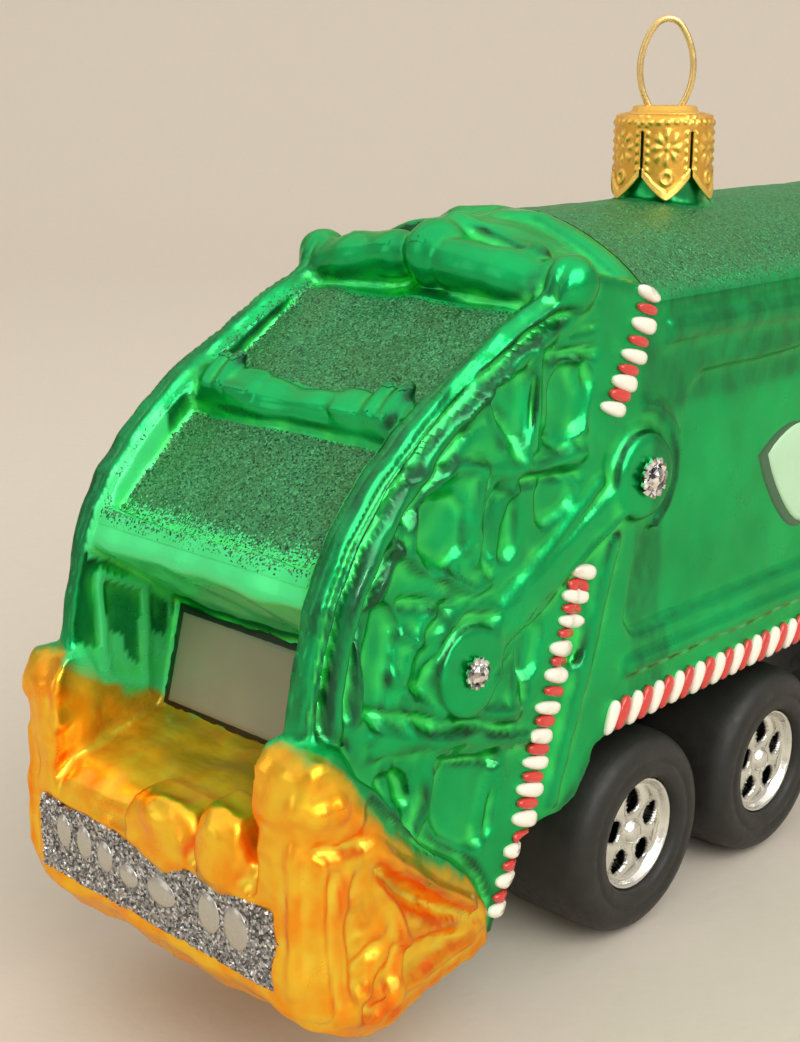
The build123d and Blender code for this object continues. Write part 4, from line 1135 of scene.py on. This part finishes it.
# tyre section: radius as a share of the whole, and y in from the outer face
tyre_profile = [(0.56, -0.9), (0.575, -0.35), (0.60, -0.12), (0.66, -0.02), (0.70, 0.0), (0.715, -0.10),
                (0.73, -0.14), (0.745, -0.10), (0.76, 0.0), (0.82, -0.05), (0.88, -0.22), (0.925, -0.55),
                (0.96, -1.05), (0.985, -1.75), (0.997, -2.7), (1.0, -4.0), (1.0, -6.5), (1.0, -9.0),
                (0.99, -10.3), (0.965, -11.0), (0.92, -11.4), (0.8, -11.5), (0.7, -11.5), (0.56, -11.4)]
# hub section: radius, and y in from the tyre's outer face, both in millimetres
hub_profile = [(0.0, -0.85), (0.35, -0.86), (0.7, -0.92), (0.95, -1.1), (1.15, -1.4)]
hub_profile += [(r, -1.65 + 0.35 * math.sin(math.pi * (r - 1.3) / 3.4)) for r in np.arange(1.3, 4.7, 0.1)]
hub_profile += [(4.75, -1.62), (4.9, -1.45), (5.05, -1.1), (5.2, -0.9), (5.35, -0.84), (5.5, -0.9),
                (5.6, -1.15), (5.6, -3.4), (3.0, -3.6), (0.0, -3.6)]
FIFTH = FULL_TURN / 5
# the five pits of a hub's disc, painted dark as shade where openings are: how far out, half their length and
# width, and how deep
PIT_PLACE, PIT_LONG, PIT_WIDE, PIT_DEPTH = 3.2, 1.2, 1.05, 1.3


def spin(bm, section, ends, centre, steps):
    """Turn a section round its axle, its vertices joined to these ends in turn."""
    edges = [bm.edges.new(pair) for pair in zip(section, ends)]
    ops.spin(bm, geom=section + edges, cent=centre, axis=(0, 1, 0), angle=FULL_TURN, steps=steps,
                   use_merge=True)


def wheels():
    """Smooth vinyl tyres with rounded shoulders, and dished, slotted hubs."""
    for name in ("rear", "middle", "front"):
        node = name + "_tyres"
        low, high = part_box(node)
        centre, radius = (low + high) / 2, (high.z - low.z) / 2
        body = nodes[node]["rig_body"]
        bm = bmesh.new()
        for side in (1, -1):
            made = [bm.verts.new((centre.x, side * (high.y + y * MM), centre.z + r * radius))
                    for r, y in tyre_profile]
            spin(bm, made, made[1:] + made[:1], centre, 112)
        face_out(bm)
        piece(name + "_vinyl", bm, "tyre_black", node, body=body)
        hub(name, (centre.x, 0, centre.z), high.y, body)


def hub(name, centre, outer, body):
    """Pressed hubs of one axle: a flared rim round a disc with five long pits, painted dark as shade where the
    openings are.
    """
    bm = bmesh.new()
    pit = bm.verts.layers.float.new("pit")
    for side in (1, -1):
        made = [bm.verts.new((centre[0], side * (outer + y * MM), centre[2] + r * MM)) for r, y in hub_profile]
        spin(bm, made, made[1:], centre, 120)
    ops.remove_doubles(bm, verts=bm.verts, dist=1e-6)
    for vert in bm.verts:
        x, z = (vert.co.x - centre[0]) / MM, (vert.co.z - centre[2]) / MM
        reach = math.hypot(x, z)
        if reach > 4.8 or abs(vert.co.y) < outer - 3.2 * MM:
            continue
        turn = (math.atan2(z, x) - math.pi / 2) % FIFTH
        turn = min(turn, FIFTH - turn)
        away = math.hypot((reach - PIT_PLACE) / PIT_LONG, reach * math.sin(turn) / PIT_WIDE)
        depth = 1 - ease(away, 0.80, 1.15)
        bead = math.exp(-((away - 1.25) / 0.25) ** 2) * 0.14
        vert.co.y -= math.copysign((PIT_DEPTH * depth - bead) * MM, vert.co.y)
        # painted shade: how deep each place sits in a pit
        vert[pit] = depth
    face_out(bm)
    piece(name + "_plated_hubs", bm, "hub_chrome", name + "_hubs", body=body)


HEART = np.array([10.6, 39.4]) * MM       # the (x, z) that the leaves grow from
# each leaf, ring by ring: share of its outline, and of its height over the glass
leaf_rings = ((1.0, -0.25), (0.985, 0.55), (0.9, 0.9), (0.5, 1.0))


def leaves(skin):
    """The painted leaves, with a dark brushed shadow behind each."""
    paint, shadow = bmesh.new(), bmesh.new()
    for points, _, side in spots_of("leaf_motif"):
        blade = leaf_outline(points[:, [0, 2]])
        middle = blade.mean(0)
        for target, grow, shift, rise in ((paint, 1.0, 0.0, 0.30), (shadow, 1.06, -1.3 * MM, 0.10)):
            rings = []
            for size, lift in leaf_rings:
                ring = []
                for x, z in (blade - middle) * size * grow + middle:
                    hit = on_glass(skin, (x + shift, 0, z), side)[0]
                    ring.append(target.verts.new(hit + Vector((0, side * rise * lift * MM, 0))))
                rings.append(ring)
            loft(target, rings)
            target.faces.new(rings[-1])
    face_out(paint)
    face_out(shadow)
    piece("painted_leaves", paint, "mint_paint", "leaf_motif")
    made = piece("leaf_shadows", shadow, "green_glass")
    made.data.materials[0] = finishes["shadow_green"]


def leaf_outline(points):
    """A pointed leaf in (x, z) along one plain blade, bent a little upwards at its tip."""
    reach = np.linalg.norm(points - HEART, axis=1)
    tip, root = points[reach.argmax()], points[reach.argmin()]
    run = tip - root
    side = np.array([-run[1], run[0]])
    half = np.abs((points - root) @ side).max() / (side @ side)
    shares = np.linspace(0, 1, 13)
    width = half * np.sin(np.pi * shares ** 0.8) ** 0.85
    bend = 0.30 * shares ** 2 * np.linalg.norm(run)
    line = root + shares[:, None] * run + bend[:, None] * np.array([0.0, 1.0])
    upper, lower = line + width[:, None] * side, line - width[:, None] * side
    return np.concatenate([upper, lower[-2:0:-1]])


bpy.context.scene.view_settings.view_transform = "Standard"
make_camera()
make_light()
make_floor()
dress_cad()
skin, whole_glass = molten_glass()
dash_rng = random.Random(3)
enamel_dashes(skin, "white_dashes", "white_enamel", dash_rng, 0.22, 0.62)
enamel_dashes(skin, "red_dashes", "red_enamel", dash_rng, 0.12, 0.52)
sprayed(whole_glass, "hatch_spray", "hatch_glitter", hatch_cover)
sprayed(whole_glass, "roof_spray", "roof_glitter", roof_cover)
crystals(skin, random.Random(9))
lamp_bar()
mouth_panel()
crown()
wire_loop()
wheels()
leaves(skin)
bpy.data.meshes.remove(whole_glass)
